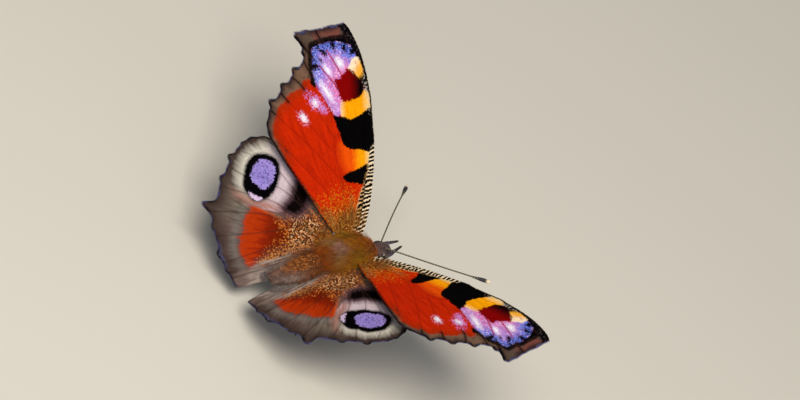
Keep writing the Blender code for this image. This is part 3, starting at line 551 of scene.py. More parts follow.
def hindwing_scales():
    """The same chips in grey brown, cream and brick red, with hair-like ones towards the body."""
    material, tree, shader = new_material("hindwing_scales", Roughness=0.75, Specular_IOR_Level=0.02)
    chances, flat, _fan = scale_chances(tree)
    share = node(tree, "Math", (chances[3], 1.2, 0.5), operation="MULTIPLY_ADD", use_clamp=True)
    ground = mixed(tree, share, linear("#564C44"), linear("#776B61"))
    colour = paint(tree, ground, (
        ("lower_border", "#5C4844", 3.0, 0.8, 3, 0.7),
        ("border_edge", "#3A2D29", 2.2, 0.6, 3, 0.95),
        ("border_violet", "#50547E", 0.7, 1.2, 4, 0.6),
        # painted sheen: a pale grey band just outside the red patch
        ("sheen_band_beside_red", "#7E7C78", 1.1, 0.9, 3, 0.4),
        ("halo", "#CAC5BA", 1.5, 0.5, 3, 1.0),
        ("halo_inner", "#CDBBC6", 2.2, 0.5, 3, 0.95),
        ("halo_low", "#A5776C", 1.2, 0.5, 3, 0.9),
        ("red", "#92240A", 1.1, 1.4, 3, 1.0),
        ("red_dark", "#661803", 3.0, 1.8, 3, 0.9),
        ("red_streaks", "#B43708", 1.2, 2.6, 3, 0.7),
        ("red_rim", "#C45A30", 0.25, 0.2, 1, 0.6),
        ("base", "#66280A", 1.6, 1.2, 0, 0.95),
        ("base_specks", "#C87430", 0.25, 2.9, 1, 0.85),
        ("base_cream", "#E2B484", 0.2, 2.6, 2, 0.9),
        ("base_cream", "#170A06", 0.25, 2.6, 0, 0.9),
        ("tan_band", "#B67A46", 0.3, 1.7, 1, 0.8),
        ("smoke", "#5A4048", 1.2, 0.5, 3, 0.95),
        ("smoke_core", "#0A0405", 0.9, 0.5, 3, 1.0),
        ("fold", "#6E5C56", 0.8, 0.6, 3, 0.95),
        ("fold_pale", "#A59890", 1.1, 1.8, 3, 0.8),
        ("inner_hair", "#6A4430", 0.7, 0.8, 3, 0.6),
        ("vein_brown", "#2E211C", 0.15, 0.06, 1, 0.55),
        ("dark_edge", "#181016", 0.2, 0.12, 0, 0.95),
        ("ring_shade", "#1A1012", 0.5, 0.2, 1, 0.85),
        ("ring", "#030204", 0.2, 0.2, 1, 1.0),
        ("lilac", "#9A88D2", 0.1, 0.35, 0, 1.0),
        ("lilac_blue", "#6466BE", 0.3, 2.6, 2, 0.45),
        ("lilac_specks", "#3C3072", 0.1, 3.8, 2, 0.7),
        ("crescent", "#D2BCE0", 0.15, 0.25, 1, 1.0),
    ), chances)
    finish_scales(tree, shader, colour, chances, flat)
    return material


def underside_scales():
    """Bark-like underside: near-black brown scales crossed by fine wavy lines, with a paler border."""
    material, tree, shader = new_material("underside_scales", Roughness=0.7, Specular_IOR_Level=0.1)
    chances, flat, fan = scale_chances(tree)
    colour = linear("#120D0D")
    for spacing, distortion, code, strength in ((0.55, 7.0, "#33261F", 1.0), (2.1, 5.0, "#463628", 0.4)):
        feeds = {"Vector": fan, "Scale": spacing, "Distortion": distortion, "Detail": 4.0,
                 "Detail Scale": 1.1}
        waves = node(tree, "TexWave", feeds, wave_type="BANDS", bands_direction="X")
        share = node(tree, "Math", (waves, strength), operation="MULTIPLY")
        colour = mixed(tree, share, colour, linear(code))
    colour = paint(tree, colour, (
        ("under_border", "#4A3A30", 1.4, 1.2, 3, 0.7),
        ("under_line", "#0B0809", 0.4, 0.3, 0, 0.85),
        ("vein", "#0F0B0B", 0.18, 0.05, 0, 0.7),
        ("dark_edge", "#0D0A0D", 0.2, 0.1, 0, 0.9),
    ), chances)
    finish_scales(tree, shader, colour, chances, flat)
    return material


# Wing shapes

def toothed_margin(knots, steps=60):
    """The outer margin: between two vein ends, a hollow as a half sine with a tooth on it as a bell."""
    points = []
    along = np.arange(steps) / steps
    for (u0, v0, tooth, hollow, peak), (u1, v1, *_tooth) in zip(knots, knots[1:]):
        out = np.array([v1 - v0, u0 - u1]) / math.hypot(u1 - u0, v1 - v0)
        bell = np.exp(-np.abs((along - peak) / TOOTH_WIDTH) ** TOOTH_BLUNTNESS) * np.clip(along / 0.2, 0, 1)
        offset = tooth * bell - hollow * np.sin(np.pi * along)
        line = np.outer(1 - along, (u0, v0)) + np.outer(along, (u1, v1))
        points.append(line + offset[:, None] * out)
    return softened(np.vstack(points + [np.array([knots[-1][:2]], float)]), TEETH_SMOOTHING)


def softened(path, reach):
    """The path smoothed by a bell-shaped average that keeps its ends."""
    half = int(3 * reach * len(path))
    bell = np.exp(-0.5 * (np.arange(-half, half + 1) / (reach * len(path))) ** 2)
    padded = np.vstack([2 * path[0] - path[half:0:-1], path, 2 * path[-1] - path[-2:-half - 2:-1]])
    return np.stack([np.convolve(padded[:, k], bell / bell.sum(), "valid") for k in (0, 1)], -1)


def pattern(shape, s, t):
    """Flat points of a wing, s from root to margin, t from leading to hind edge: the straight blend of the
    two edges, plus a power of s times how far the softened margin bulges, plus a higher one times its
    teeth."""
    steps = 1000
    knots = np.linspace(0, 1, steps)
    leading = evenly(cubic(shape["costa"], steps), steps)
    hind = evenly(cubic(shape["dorsum"], steps)[::-1], steps)
    margin = evenly(toothed_margin(shape["margin"]), steps)
    soft = softened(margin, BULGE_SMOOTHING)
    chord = np.outer(1 - knots, margin[0]) + np.outer(knots, margin[-1])

    def at(path, places):
        return np.stack([np.interp(places, knots, path[:, k]) for k in (0, 1)], -1)
    blend = at(leading, s) * (1 - t)[:, None] + at(hind, s) * t[:, None]
    bulge = (s ** BULGE_GROWTH)[:, None] * at(soft - chord, t)
    teeth = (s ** TEETH_GROWTH)[:, None] * at(margin - soft, t)
    return blend + bulge + teeth


def on_wing(name, flat, height):
    """Flat points carried onto the posed wing, height above its middle face: w = a u^2 + b u v + c v^2,
    then pitch, dihedral and sweep about the root."""
    _shape, root, angles, bend = POSES[name]

    def placed(uv):
        u, v = uv[:, 0] / SPAN_UNIT, uv[:, 1] / CHORD_UNIT
        a, b, c = bend
        return np.stack([uv[:, 0], uv[:, 1], a * u * u + b * u * v + c * v * v], -1)
    sweep, dihedral, pitch = (math.radians(angle) for angle in angles)
    pose = turned(2, -sweep) @ turned(1, -dihedral) @ turned(0, -pitch)
    step = 0.01
    middle = placed(flat)
    normal = unit(np.cross(placed(flat + [step, 0]) - middle, placed(flat + [0, step]) - middle))
    points = middle + normal * np.asarray(height)[:, None]
    return mirrored(points @ pose.T + root, name.split("_")[1])


def within(mask, distance):
    """A soft mark kept inside a sharp one: beyond the mask's edge the distance falls off at once."""
    return np.minimum(12 * mask, distance)


def wing_fields(shape, uv):
    """Distances in millimetres that both wings use: to the veins, the margin and the leading edge."""
    veins = [smooth_path(vein, 8 * len(vein)) for vein in shape["veins"]]
    to_vein = np.min([edge_distance(uv, vein) for vein in veins], axis=0)
    to_margin = edge_distance(uv, toothed_margin(shape["margin"], 12))
    to_costa = edge_distance(uv, cubic(shape["costa"], 60))
    return {"to_vein": to_vein, "to_costa": to_costa, "vein": 0.1 - to_vein, "dark_edge": 0.22 - to_margin,
            "under_border": 3.2 - to_margin, "under_line": 0.22 - np.abs(to_margin - 3.4)}, to_margin


def forewing_marks(uv):
    """Every marking of the forewing as a signed distance in millimetres, above zero inside it."""
    marks, to_margin = wing_fields(FOREWING, uv)
    u, v = uv.T
    line, to_costa = 0.08 - marks["to_vein"], marks["to_costa"]
    field, border, dark_red = in_loop(uv, BLUE_FIELD), in_loop(uv, BORDER), in_loop(uv, DARK_RED)
    wedge, yellow, upper = in_loop(uv, YELLOW_WEDGE), in_loop(uv, YELLOW_ARC), in_loop(uv, UPPER_YELLOW)
    from_outside = edge_distance(uv, smooth_path(FIELD_OUTER_EDGE, 50))
    spots = np.max([in_oval(uv, *spot, SPOT_SLANT) for spot in WHITE_SPOTS], axis=0)
    tongues = np.max([in_oval(uv, *tongue[:3], math.radians(tongue[3])) for tongue in TONGUES], axis=0)
    reach = np.hypot(u + 0.6, v + 0.2)
    bars, strip = np.interp(u, *COSTAL_BARS) - to_costa, np.interp(u, *COSTAL_STRIP) - to_costa
    blot = in_loop(uv, LILAC_BLOT)
    marks.update({
        "red_edge": border + 0.9, "root": 4.0 - reach,
        "root_specks": np.minimum(0.35 * (6.2 - reach), 0.6) - 0.85,
        "root_core": 2.9 - reach, "root_core_specks": np.minimum(0.6 * (3.8 - reach), 0.6) - 0.9,
        "wedge": wedge + 0.4, "wedge_yellow": within(wedge + 0.3, -1.3 - v),
        "wedge_cream": within(wedge + 0.3, -2.75 - v),
        "surround": in_loop(uv, BLACK_SURROUND) + 0.35, "field": field,
        "field_rose": within(field, 0.8 + dark_red),
        # one field for the field's own violet specks and for the painted glints
        "field_blue": within(field, 1.5 - from_outside), "field_specks_and_glints": within(field, -1.0),
        "field_dots": within(field, 0.1 - from_outside), "tongues": tongues,
        "upper_yellow": upper, "upper_cream": within(upper + 0.2, 0.4 * (u - 22.0) + 0.8 * (v + 1.9)),
        "yellow": yellow, "yellow_cream": within(yellow + 0.2, np.maximum(-3.0 - v, v - 0.3)),
        "black_patches": np.maximum(in_loop(uv, BIG_PATCH), in_loop(uv, SMALL_PATCH)),
        "blot": np.minimum(blot - 0.2, 0.4), "blot_core": blot - 0.5,
        "white": spots, "white_haze": np.minimum(spots + 0.12, 0.2),
        "dark_red": dark_red, "dark_red_shade": within(dark_red + 0.05, -1.5 - v),
        "costal_specks": in_oval(uv, (19.9, -3.55), 1.5, 0.26, 0.05),
        "border": border, "border_apex": within(border, u - 23.5),
        "border_inner": np.minimum(0.26 - np.abs(border - 0.02), u - 20.6),
        "border_tip": within(border, np.minimum(np.minimum(u - 25.8, 3.4 - v), v + 0.4)),
        "border_costal": within(border, -0.3 - v), "border_edge": 0.6 - to_margin,
        # dark line along the hind edge: partly its own dark edge, partly painted shadow over the hindwing
        "hind_edge_line_and_shadow": np.minimum(0.34 - edge_distance(uv, cubic(FOREWING["dorsum"], 60)), 0.2 * (u - 3.0)),
        "costal_line": np.minimum(0.2 - to_costa, u - 11.0),
        "vein_red": np.minimum(line, -border),
        "vein_border": np.minimum(line + 0.03, border + np.where(v > 9.3, 0.0, 0.6)),
        "vein_crimson": np.minimum(line + 0.02, np.minimum(field, from_outside - 1.0)),
        "costal_strip": strip, "costal_grey": np.minimum(strip, 0.3) - 0.95,
        "bars": bars, "bars_gold": np.minimum(bars, to_costa - 1.0),
        "bar_gap": np.minimum(bars, 0.06 - np.abs(to_costa - 1.05)),
    })
    return marks


def hindwing_marks(uv):
    """Every marking of the hindwing as a signed distance in millimetres, above zero inside it."""
    marks, to_margin = wing_fields(HINDWING, uv)
    u, v = uv.T
    line = 0.08 - marks["to_vein"]
    ring, lilac, base = in_loop(uv, RING), in_loop(uv, LILAC_EYE), in_loop(uv, SPECKLED_BASE)
    halo, smoke, red, fold = (in_loop(uv, loop) for loop in (HALO, SMOKE, RED_PATCH, PALE_FOLD))
    inner_edge = edge_distance(uv, cubic(HINDWING["dorsum"], 40))
    marks.update({
        "lower_border": v - 1.0, "border_edge": 1.5 - to_margin,
        "border_violet": np.minimum(0.3 - to_margin, v - 3),
        # painted sheen: a band 0.2 to 1.4 mm outside the red patch, beyond 11 mm out
        "sheen_band_beside_red": np.minimum(0.6 - np.abs(red + 0.8), u - 11.0),
        "halo": halo - 0.3, "halo_inner": within(halo + 0.6, 10.4 - u),
        "halo_low": np.minimum(halo + 0.5, v + 3.1),
        "smoke": smoke + 0.9, "smoke_core": smoke + 0.2, "red": red, "red_dark": within(red, 9.0 - u),
        "red_streaks": within(red, u - 10.0),
        "red_rim": 0.16 - edge_distance(uv, smooth_path(RED_RIM, 30)),
        "base": base, "base_specks": np.minimum(0.7 * (base + 0.5), 0.5) - 0.95,
        "base_cream": np.minimum(np.minimum(base - 0.6, 5.8 - u), 0.5) - 1.0,
        "tan_band": 0.15 - edge_distance(uv, smooth_path(TAN_BAND, 30)),
        "fold": fold, "fold_pale": np.minimum(np.minimum(fold - 0.1, 0.5 * (9.6 - u)), 0.5),
        "inner_hair": np.minimum(0.7 - inner_edge, 8.5 - u),
        "vein_brown": np.minimum(line, -ring), "ring_shade": ring + 0.15, "ring": ring, "lilac": lilac,
        "lilac_blue": within(lilac - 0.2, 0.9 - np.hypot(u - 11.3, v + 6.3)),
        "lilac_specks": np.minimum(20 * lilac, -1.65), "crescent": in_loop(uv, CRESCENT),
    })
    return marks


# Meshes

def grid_quads(rows, columns, wrap=False):
    """The faces of a grid of points laid row by row; wrap joins the last column to the first."""
    i, j = np.meshgrid(np.arange(rows - 1), np.arange(columns if wrap else columns - 1), indexing="ij")
    k = (j + 1) % columns
    a, b = i * columns, (i + 1) * columns
    return np.stack([a + j, b + j, b + k, a + k], -1).reshape(-1, 4)


def closed_grid(rows, columns):
    """The faces of rings of points laid row by row, with a flat cap at either end."""
    ring = np.arange(columns)[None]
    return [grid_quads(rows, columns, wrap=True), ring[:, ::-1], ring + (rows - 1) * columns]


def flipped(groups):
    """The same faces turned the other way."""
    return [group[:, ::-1] for group in groups]


def add_piece(name, points, face_groups, materials, replaces=(), fields=None, maps=None, worn=None):
    """A named mesh from points in the insect's frame. face_groups are arrays of faces with equal corners,
    fields are one number a point, maps one place a point or a corner, worn one material a face."""
    mesh = bpy.data.meshes.new(name)
    faces = [face for group in face_groups for face in np.asarray(group).tolist()]
    mesh.from_pydata(stand(points).tolist(), [], faces)
    for material in materials:
        mesh.materials.append(material)
    corners = np.concatenate([np.asarray(group).ravel() for group in face_groups])
    for field, values in (fields or {}).items():
        values = np.asarray(values, np.float32)
        kind, key = ("FLOAT", "value") if values.ndim == 1 else ("FLOAT_COLOR", "color")
        mesh.attributes.new(field, kind, "POINT").data.foreach_set(key, values.ravel())
    for label, places in (maps or {}).items():
        places = places if len(places) == len(corners) else places[corners]
        mesh.uv_layers.new(name=label).data.foreach_set("uv", places.astype(np.float32).ravel())
    if worn is not None:
        mesh.polygons.foreach_set("material_index", np.asarray(worn, np.int32))
    mesh.shade_smooth()
    mesh.update()
    piece = bpy.data.objects.new(name, mesh)
    bpy.context.scene.collection.objects.link(piece)
    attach(piece, "root")
    if replaces:
        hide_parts(*replaces)
    return piece


def bake_place(shape, uv, upper):
    """Where a flat point lies on the bake map: the upper face in its top two thirds, the lower below."""
    low, high = np.array(shape["bake_box"])
    share = (uv - low) / (high - low)
    base, tall = UPPER_STRIP if upper else LOWER_STRIP
    return np.stack([0.01 + 0.98 * share[:, 0], base + tall * share[:, 1]], -1)


def fan_place(uv):
    """Distance out from behind the root, and the angle there as millimetres at 12 mm out."""
    u, v = uv[:, 0] + 2.0, uv[:, 1]
    return np.stack([np.hypot(u, v), 12.0 * np.arctan2(v, u)], -1)


def wing_grid():
    """The places of a membrane's points: s from root to margin, t from leading to hind edge."""
    out, back = np.linspace(0, MEMBRANE_END, WING_ROWS), np.linspace(0, 1, WING_COLUMNS)
    s, t = np.meshgrid(out, back, indexing="ij")
    return s.ravel(), t.ravel()


def membrane(name, upper_finish, lower_finish):
    """A wing as one thin closed sheet: an upper and a lower grid over the same flat pattern, pleated along
    its veins, joined round the rim by one strip of faces."""
    shape = POSES[name][0]
    s, t = wing_grid()
    uv = pattern(shape, s, t)
    marks = WING_MARKS[name.split("_")[0]]
    to_vein, to_costa = marks["to_vein"], marks["to_costa"]
    pleat = PLEAT_HEIGHT * np.exp(-(to_vein / PLEAT_WIDTH) ** 2)
    ripple = RIPPLE_HEIGHT * s ** 5 * np.sin(2 * np.pi * RIPPLE_COUNT * t)
    ridge = VEIN_HEIGHT * np.exp(-(to_vein / VEIN_WIDTH) ** 2)
    thinning = np.clip(1.15 - uv[:, 0] / SPAN_UNIT, 0, 1)
    half = MEMBRANE_HALF + ridge + COSTA_HALF * np.exp(-(to_costa / COSTA_WIDTH) ** 2) * thinning
    middle = pleat + ripple
    points = np.vstack([on_wing(name, uv, middle + half), on_wing(name, uv, middle - half)])
    top = grid_quads(WING_ROWS, WING_COLUMNS)
    index = np.arange(WING_ROWS * WING_COLUMNS).reshape(WING_ROWS, WING_COLUMNS)
    rim = np.concatenate([index[:, 0], index[-1, 1:], index[-2::-1, -1], index[0, -2:0:-1]])
    after = np.roll(rim, -1)
    count = len(uv)
    edge = np.stack([after, rim, rim + count, after + count], -1)
    faces = np.vstack([top, (top + count)[:, ::-1], edge])
    if name.endswith("right"):
        faces = faces[:, ::-1]
    upper, lower = bake_place(shape, uv, True), bake_place(shape, uv, False)
    places = np.vstack([upper, lower])[faces.ravel()]
    rim_faces = faces[-len(edge):].ravel()
    outward = unit(upper[rim_faces % count] - upper.mean(0)) * RIM_STEP
    places[-len(rim_faces):] = upper[rim_faces % count] + outward * (rim_faces >= count)[:, None]
    twice = {field: np.tile(values, 2) for field, values in marks.items()}
    maps = {"OFBake": places, "flat": np.tile(uv, (2, 1)), "fan": np.tile(fan_place(uv), (2, 1))}
    worn = np.concatenate([np.zeros(len(top)), np.ones(len(top)), np.zeros(len(edge))])
    return add_piece("membrane_" + name, points, [faces], [upper_finish, lower_finish], [name], twice,
                     maps, worn)


# Fur, fringes and other tufts

def tufts(roots, ahead, bend, length, width, sideways, flatness=1.0, rings=4):
    """Tapered three-sided locks. Each middle line is root + length * (ahead * t + bend * t^2); its three
    corners stand half the width * (1 - t)^0.6 away from it, and it closes in a point."""
    count = len(roots)
    t = np.linspace(0, 1, rings + 1)[:-1]
    reach = ahead[:, None] * t[:, None] + bend[:, None] * t[:, None] ** 2
    middle = roots[:, None] + length[:, None, None] * reach
    across = unit(sideways - ahead * (sideways * ahead).sum(1, keepdims=True))
    above = np.cross(across, ahead)
    angle = np.radians([90.0, 210.0, 330.0])
    spoke = across[:, None] * np.cos(angle)[:, None] + flatness * above[:, None] * np.sin(angle)[:, None]
    half = 0.5 * width[:, None, None, None] * ((1 - t) ** 0.6)[:, None, None]
    body = middle[:, :, None] + half * spoke[:, None]
    tips = roots + length[:, None] * (ahead + bend)
    points = np.concatenate([body.reshape(count, -1, 3), tips[:, None]], 1)
    size = 3 * rings + 1
    a = 3 * np.arange(rings - 1)[:, None]
    k = np.arange(3)
    sides = np.stack([a + k, a + 3 + k, a + 3 + (k + 1) % 3, a + (k + 1) % 3], -1).reshape(-1, 4)
    end, tip = 3 * (rings - 1), size - 1
    caps = np.array([[end + 1, end, tip], [end + 2, end + 1, tip], [end, end + 2, tip], [0, 1, 2]])
    offset = (np.arange(count) * size)[:, None, None]
    groups = [(sides + offset).reshape(-1, 4), (caps + offset).reshape(-1, 3)]
    along = np.append(np.repeat(t, 3), 1.0)
    patch = np.stack([np.append(np.tile(k - 1.0, rings), 0.0), along - 0.5], -1) * TUFT_PATCH
    return points.reshape(-1, 3), groups, np.tile(along, count), np.tile(patch, (count, 1)), size


def coat_piece(name, locks, colours, places, finish, slot):
    """A joined mesh of locks; each has its root's colour with its own tint, and its patch of the bake map."""
    points, groups, along, patch, size = locks
    fields = {"coat": np.repeat(colours, size, axis=0), "along": along}
    maps = {"OFBake": np.repeat(places, size, axis=0) + patch}
    return add_piece(name, points, groups, [finish], (), fields, maps)


def swell(t, start, peak, peak_at, end):
    """A size that rises from start to its peak on a quarter sine and falls to end on a cosine."""
    rising = start + (peak - start) * np.sin(0.5 * np.pi * np.clip(t / peak_at, 0, 1))
    falling = end + (peak - end) * np.cos(0.5 * np.pi * np.clip((t - peak_at) / (1 - peak_at), 0, 1))
    return np.where(t < peak_at, rising, falling)


def body_profile(y):
    """Half width, half height and middle of the skin at y: each part's swell, rounded off at its ends, all
    joined by a fourth-power sum with the neck's radius, so that one skin runs through."""
    total = np.full((2, len(y)), NECK_RADIUS ** 4)
    for front, back, half_width, half_height, shape in SKIN_PARTS:
        t = (y - front) / (back - front)
        rounding = np.clip(1 - np.abs(2 * t - 1) ** 5, 0, 1) ** 0.5
        size = swell(np.clip(t, 0, 1), *shape) * rounding
        total += np.stack([(half_width * size) ** 4, (half_height * size) ** 4])
    ends = np.clip((y - HEAD_FRONT) / ROUND_END, 0, 1) * np.clip((ABDOMEN_BACK - y) / ROUND_END, 0, 1)
    width, height = total ** 0.25 * ends ** 0.5
    thorax = np.clip((y - THORAX_FRONT) / (THORAX_BACK - THORAX_FRONT), 0, 1)
    abdomen = np.clip((y - ABDOMEN_FRONT) / (ABDOMEN_BACK - ABDOMEN_FRONT), 0, 1)
    head = np.clip((THORAX_FRONT + 1.2 - y) / 2.0, 0, 1)
    trunk = THORAX_ARCH * np.sin(np.pi * thorax) - NECK_DROP * (1 - thorax) ** 3
    trunk -= 0.1 * np.clip((y - THORAX_BACK + 1) / 2, 0, 1) + ABDOMEN_DROOP * abdomen ** 1.5
    middle = trunk * (1 - head) - HEAD_DROP * head
    in_band = (abdomen * ABDOMEN_BANDS) % 1.0
    grooves = 1 - BAND_DEPTH * np.exp(-(in_band - 0.5) ** 2 / 0.02) * (abdomen > 0.05)
    return width * grooves, height * grooves, middle


def body_point(y, angle):
    """A point of the skin: x = width * sin(angle), z = middle + height * cos(angle)."""
    width, height, middle = body_profile(y)
    return np.stack([width * np.sin(angle), y, middle + height * np.cos(angle)], -1)


def spot_share(y, angle, place, side_angle, long, wide):
    """How far a soft oval spot on both sides of the top covers a place, as a bell around its middle."""
    return np.exp(-((y - place) / long) ** 2 - ((np.abs(angle) - side_angle) / wide) ** 2)


def coat_colour(y, angle):
    """The colour of skin and fur by place: along the body, then the soft spots, then the darker underside."""
    places, codes = zip(*COAT_HUES)
    colour = np.stack([np.interp(y, places, channel) for channel in hues(codes).T], -1)
    for *spot, code in COAT_SPOTS:
        colour = blend(colour, hues([code]), spot_share(y, angle, *spot))
    return blend(colour, hues([UNDERSIDE_HUE]), 0.2 - np.cos(angle))


def skin_place(turn, row):
    """A place on the bake map of the skin: how far round it from the top, and how far back."""
    return np.stack([0.02 + 0.96 * turn, 0.03 + 0.94 * row], -1)


def body_skin(finish):
    """One skin from the face to the abdomen's tip, which lies under the coat."""
    y = np.linspace(HEAD_FRONT + 0.02, ABDOMEN_BACK - 0.02, BODY_ROWS)
    angle = np.arange(BODY_SIDES) * 2 * np.pi / BODY_SIDES
    yy, aa = (grid.ravel() for grid in np.meshgrid(y, angle, indexing="ij"))
    groups = flipped(closed_grid(BODY_ROWS, BODY_SIDES))
    quads = groups[0]
    corner = quads.ravel()
    turn = (corner % BODY_SIDES) / BODY_SIDES
    seam = (quads % BODY_SIDES == BODY_SIDES - 1).any(1).repeat(4) & (corner % BODY_SIDES == 0)
    sides = skin_place(turn + seam, (corner // BODY_SIDES) / (BODY_ROWS - 1))
    disc = 0.01 * np.stack([np.cos(angle), np.sin(angle)], -1)
    places = np.vstack([sides, disc + [0.5, 0.012], disc[::-1] + [0.5, 0.988]])
    return add_piece("body_skin", body_point(yy, aa), groups, [finish],
                     ["thorax", "abdomen", "head"], {"coat": coat_colour(yy, aa)}, {"OFBake": places})


def gathered(roots, tips, share, every, draw):
    """How far to move each tip, so that the hairs gather into locks: a share of the way to the tip of the
    nearest leading hair, keeping a third of their distance at the root."""
    leaders = draw.permutation(len(roots))[:len(roots) // every]
    apart = ((roots[:, None] - roots[leaders][None]) ** 2).sum(-1)
    nearest = leaders[apart.argmin(1)]
    return share * (tips[nearest] + (roots - roots[nearest]) / 3 - tips)


def body_coat(name, seed, count, stretch, sides, length, width, lift, gather, palette, fur):
    """Fur on a stretch of the body, between two angles from its top on both sides: roots spread by the
    skin's girth, hairs that rise by lift, bend back along the body and gather into locks. A palette is
    mixed into the skin's colour by its share, less towards the abdomen's tip and on the silver flanks."""
    draw = np.random.default_rng(seed)
    y = np.linspace(*stretch, 400)
    girth = np.cumsum(sum(body_profile(y)[:2]))
    y = np.interp(draw.uniform(girth[0], girth[-1], count), girth, y)
    angle = draw.uniform(*sides, count) * draw.choice([-1, 1], count)
    step = 0.02
    roots = body_point(y, angle)
    back = unit(body_point(y + step, angle) - roots)
    around = unit(body_point(y, angle + step) - roots)
    normal = unit(np.cross(back, around))
    normal *= np.sign((normal * (roots - [0, 0, -0.6]))[:, [0, 2]].sum(1))[:, None]
    sway = draw.normal(0, FUR_SWAY, count)[:, None] * around
    rise = (lift * draw.uniform(*FUR_RISE, count))[:, None]
    ahead = unit(normal * rise + back + sway)
    bend = 0.4 * back - 0.3 * normal * rise + 0.4 * sway + [0, 0, -0.08]
    long = length * draw.uniform(*FUR_LENGTHS, count) * (0.75 + 0.25 * np.cos(angle))
    tips = roots + long[:, None] * (ahead + bend)
    bend += gathered(roots, tips, gather, LOCK_HAIRS, draw) / long[:, None]
    wide = width * draw.uniform(*HAIR_WIDTHS, count)
    locks = tufts(roots - ROOT_DEPTH * normal, ahead, bend, long, wide, around, 0.7, 3)
    codes, share = palette
    mixed_in = hues(codes)[draw.integers(0, len(codes), count)]
    towards_tip = np.clip((HUE_END - y) / HUE_FADE, 0.2, 1)
    silver = spot_share(y, angle, *SILVER_FLANK[:4])
    colours = blend(coat_colour(y, angle), mixed_in, share * towards_tip * (1 - 0.85 * silver))
    colours = tinted(colours, draw.normal(1.0, 0.2, count).clip(0.5, 1.5)).clip(0.001, 1)
    turn = (angle % (2 * np.pi)) / (2 * np.pi)
    places = skin_place(turn, (y - HEAD_FRONT) / (ABDOMEN_BACK - HEAD_FRONT))
    return coat_piece(name, locks, colours, places, *fur)


def wing_hair(name, seed, slot, count, region, length, width, lift, reach, aside, finish, codes):
    """Hair on a wing towards its root: roots thinned out by the region, lying outward along the wing and
    aside over its hind edge. Hair that lies aside runs through its colours in order, from the root out;
    other hair takes one of them at random."""
    draw = np.random.default_rng(seed)
    wing = "_".join(name.split("_")[-2:])
    shape = POSES[wing][0]
    s, t = draw.uniform(0.03, 1, 12 * count) ** 0.5 * reach, draw.uniform(0.04, 0.98, 12 * count)
    uv = pattern(shape, s, t)
    keep = draw.uniform(0, 1, len(uv)) < np.clip(region(uv), 0, 1)
    uv = uv[keep][:count]
    count = len(uv)
    out = unit(unit(uv - np.array([-2.5, 0.0])) + [0.0, aside])
    roots = on_wing(wing, uv, np.full(count, MEMBRANE_HALF))
    tips = on_wing(wing, uv + 0.05 * out, np.full(count, MEMBRANE_HALF))
    above = on_wing(wing, uv, np.full(count, MEMBRANE_HALF + 0.05))
    out3, normal = unit(tips - roots), unit(above - roots)
    across = np.cross(normal, out3)
    sway = draw.normal(0, WING_HAIR_SWAY, count)[:, None] * across
    ahead = unit(out3 + lift * draw.uniform(*WING_HAIR_RISE, count)[:, None] * normal + sway)
    bend = 0.15 * out3 - 0.5 * lift * normal + 0.6 * sway
    fade = np.clip(1.25 - 0.6 * np.linalg.norm(uv, axis=1) / 8.0, 0.45, 1.2)
    long = length * fade * draw.uniform(*WING_HAIR_LENGTHS, count)
    locks = tufts(roots, ahead, bend, long, width * draw.uniform(*HAIR_WIDTHS, count), across, 0.5, 3)
    kinds = len(codes)
    if aside:
        place, stray = np.argsort(np.argsort(uv[:, 0])) / count * kinds, 1.0
    else:
        place, stray = draw.uniform(0, kinds, count), 0.0
    pick = np.clip(place + draw.normal(0, stray, count), 0, kinds - 0.01).astype(int)
    colours = tinted(hues(codes)[pick], draw.uniform(0.75, 1.25, count))
    return coat_piece("hair_" + name, locks, colours, bake_place(shape, uv, True), finish, slot)


def wing_fringe(name, finish, slot, seed):
    """The fringe of a wing: two rows of flat scales past the margin, longer and lilac grey on the teeth."""
    draw = np.random.default_rng(seed)
    shape = POSES[name][0]
    length = np.linalg.norm(np.diff(toothed_margin(shape["margin"]), axis=0), axis=1).sum()
    count = int(length / FRINGE_SPACING)
    t = np.tile((np.arange(count) + 0.5) / count, 2) + draw.normal(0, 0.0006, 2 * count)
    t = np.clip(t, 0.002, 0.998)
    row = np.repeat([1, -1], count)
    start = pattern(shape, np.full(len(t), FRINGE_START), t)
    past = 1 + draw.uniform(-0.004, 0.003, len(t))
    stop = pattern(shape, past, np.clip(t + draw.normal(0, 0.001, len(t)), 0, 1))
    roots = on_wing(name, start, row * 0.02)
    tips = on_wing(name, stop, row * 0.035)
    step = tips - roots
    ahead = unit(step)
    above = unit(on_wing(name, start, row * 0.02 + 0.05) - roots)
    across = np.cross(above, ahead)
    bend = 0.05 * draw.normal(0, 1, (len(t), 1)) * across
    width = FRINGE_WIDTH * draw.uniform(0.7, 1.2, len(t))
    locks = tufts(roots, ahead, bend, np.linalg.norm(step, axis=1), width, across, 0.3, 3)
    vein_ends = evenly(np.array([knot[:2] for knot in shape["margin"]], float), 200)
    teeth = np.clip((edge_distance(start, vein_ends) - 0.1) / 0.5, 0, 1)
    colours = blend(hues(["#1E1922"]), hues(["#66629A"]), teeth * draw.uniform(0.5, 1.0, len(t)))
    return coat_piece("fringe_" + name, locks, colours, bake_place(shape, start, True), finish, slot)


def fur_finish(name, roughness, sheen, tip_share, tip_code):
    """Fine hair: matt, painted darker towards the root as shade deep in the coat, paler towards its tips,
    with a soft sheen at grazing light.
    """
    material, tree, shader = new_material(name, Roughness=roughness, Specular_IOR_Level=0.1,
                                          Sheen_Weight=sheen, Sheen_Roughness=0.35)
    coat = node(tree, "Attribute", attribute_name="coat")
    along = node(tree, "Attribute", out="Fac", attribute_name="along")
    # painted shade: each hair is darkest at its root, deep in the coat, and brighter towards its tip
    depth = node(tree, "Math", (along, 0.75, 0.5), operation="MULTIPLY_ADD")
    shaded = node(tree, "VectorMath", {0: coat, "Scale": depth}, operation="SCALE")
    tipped = node(tree, "Math", (along, tip_share), operation="MULTIPLY")
    dress_shader(tree, shader, mixed(tree, tipped, shaded, linear(tip_code)))
    return material


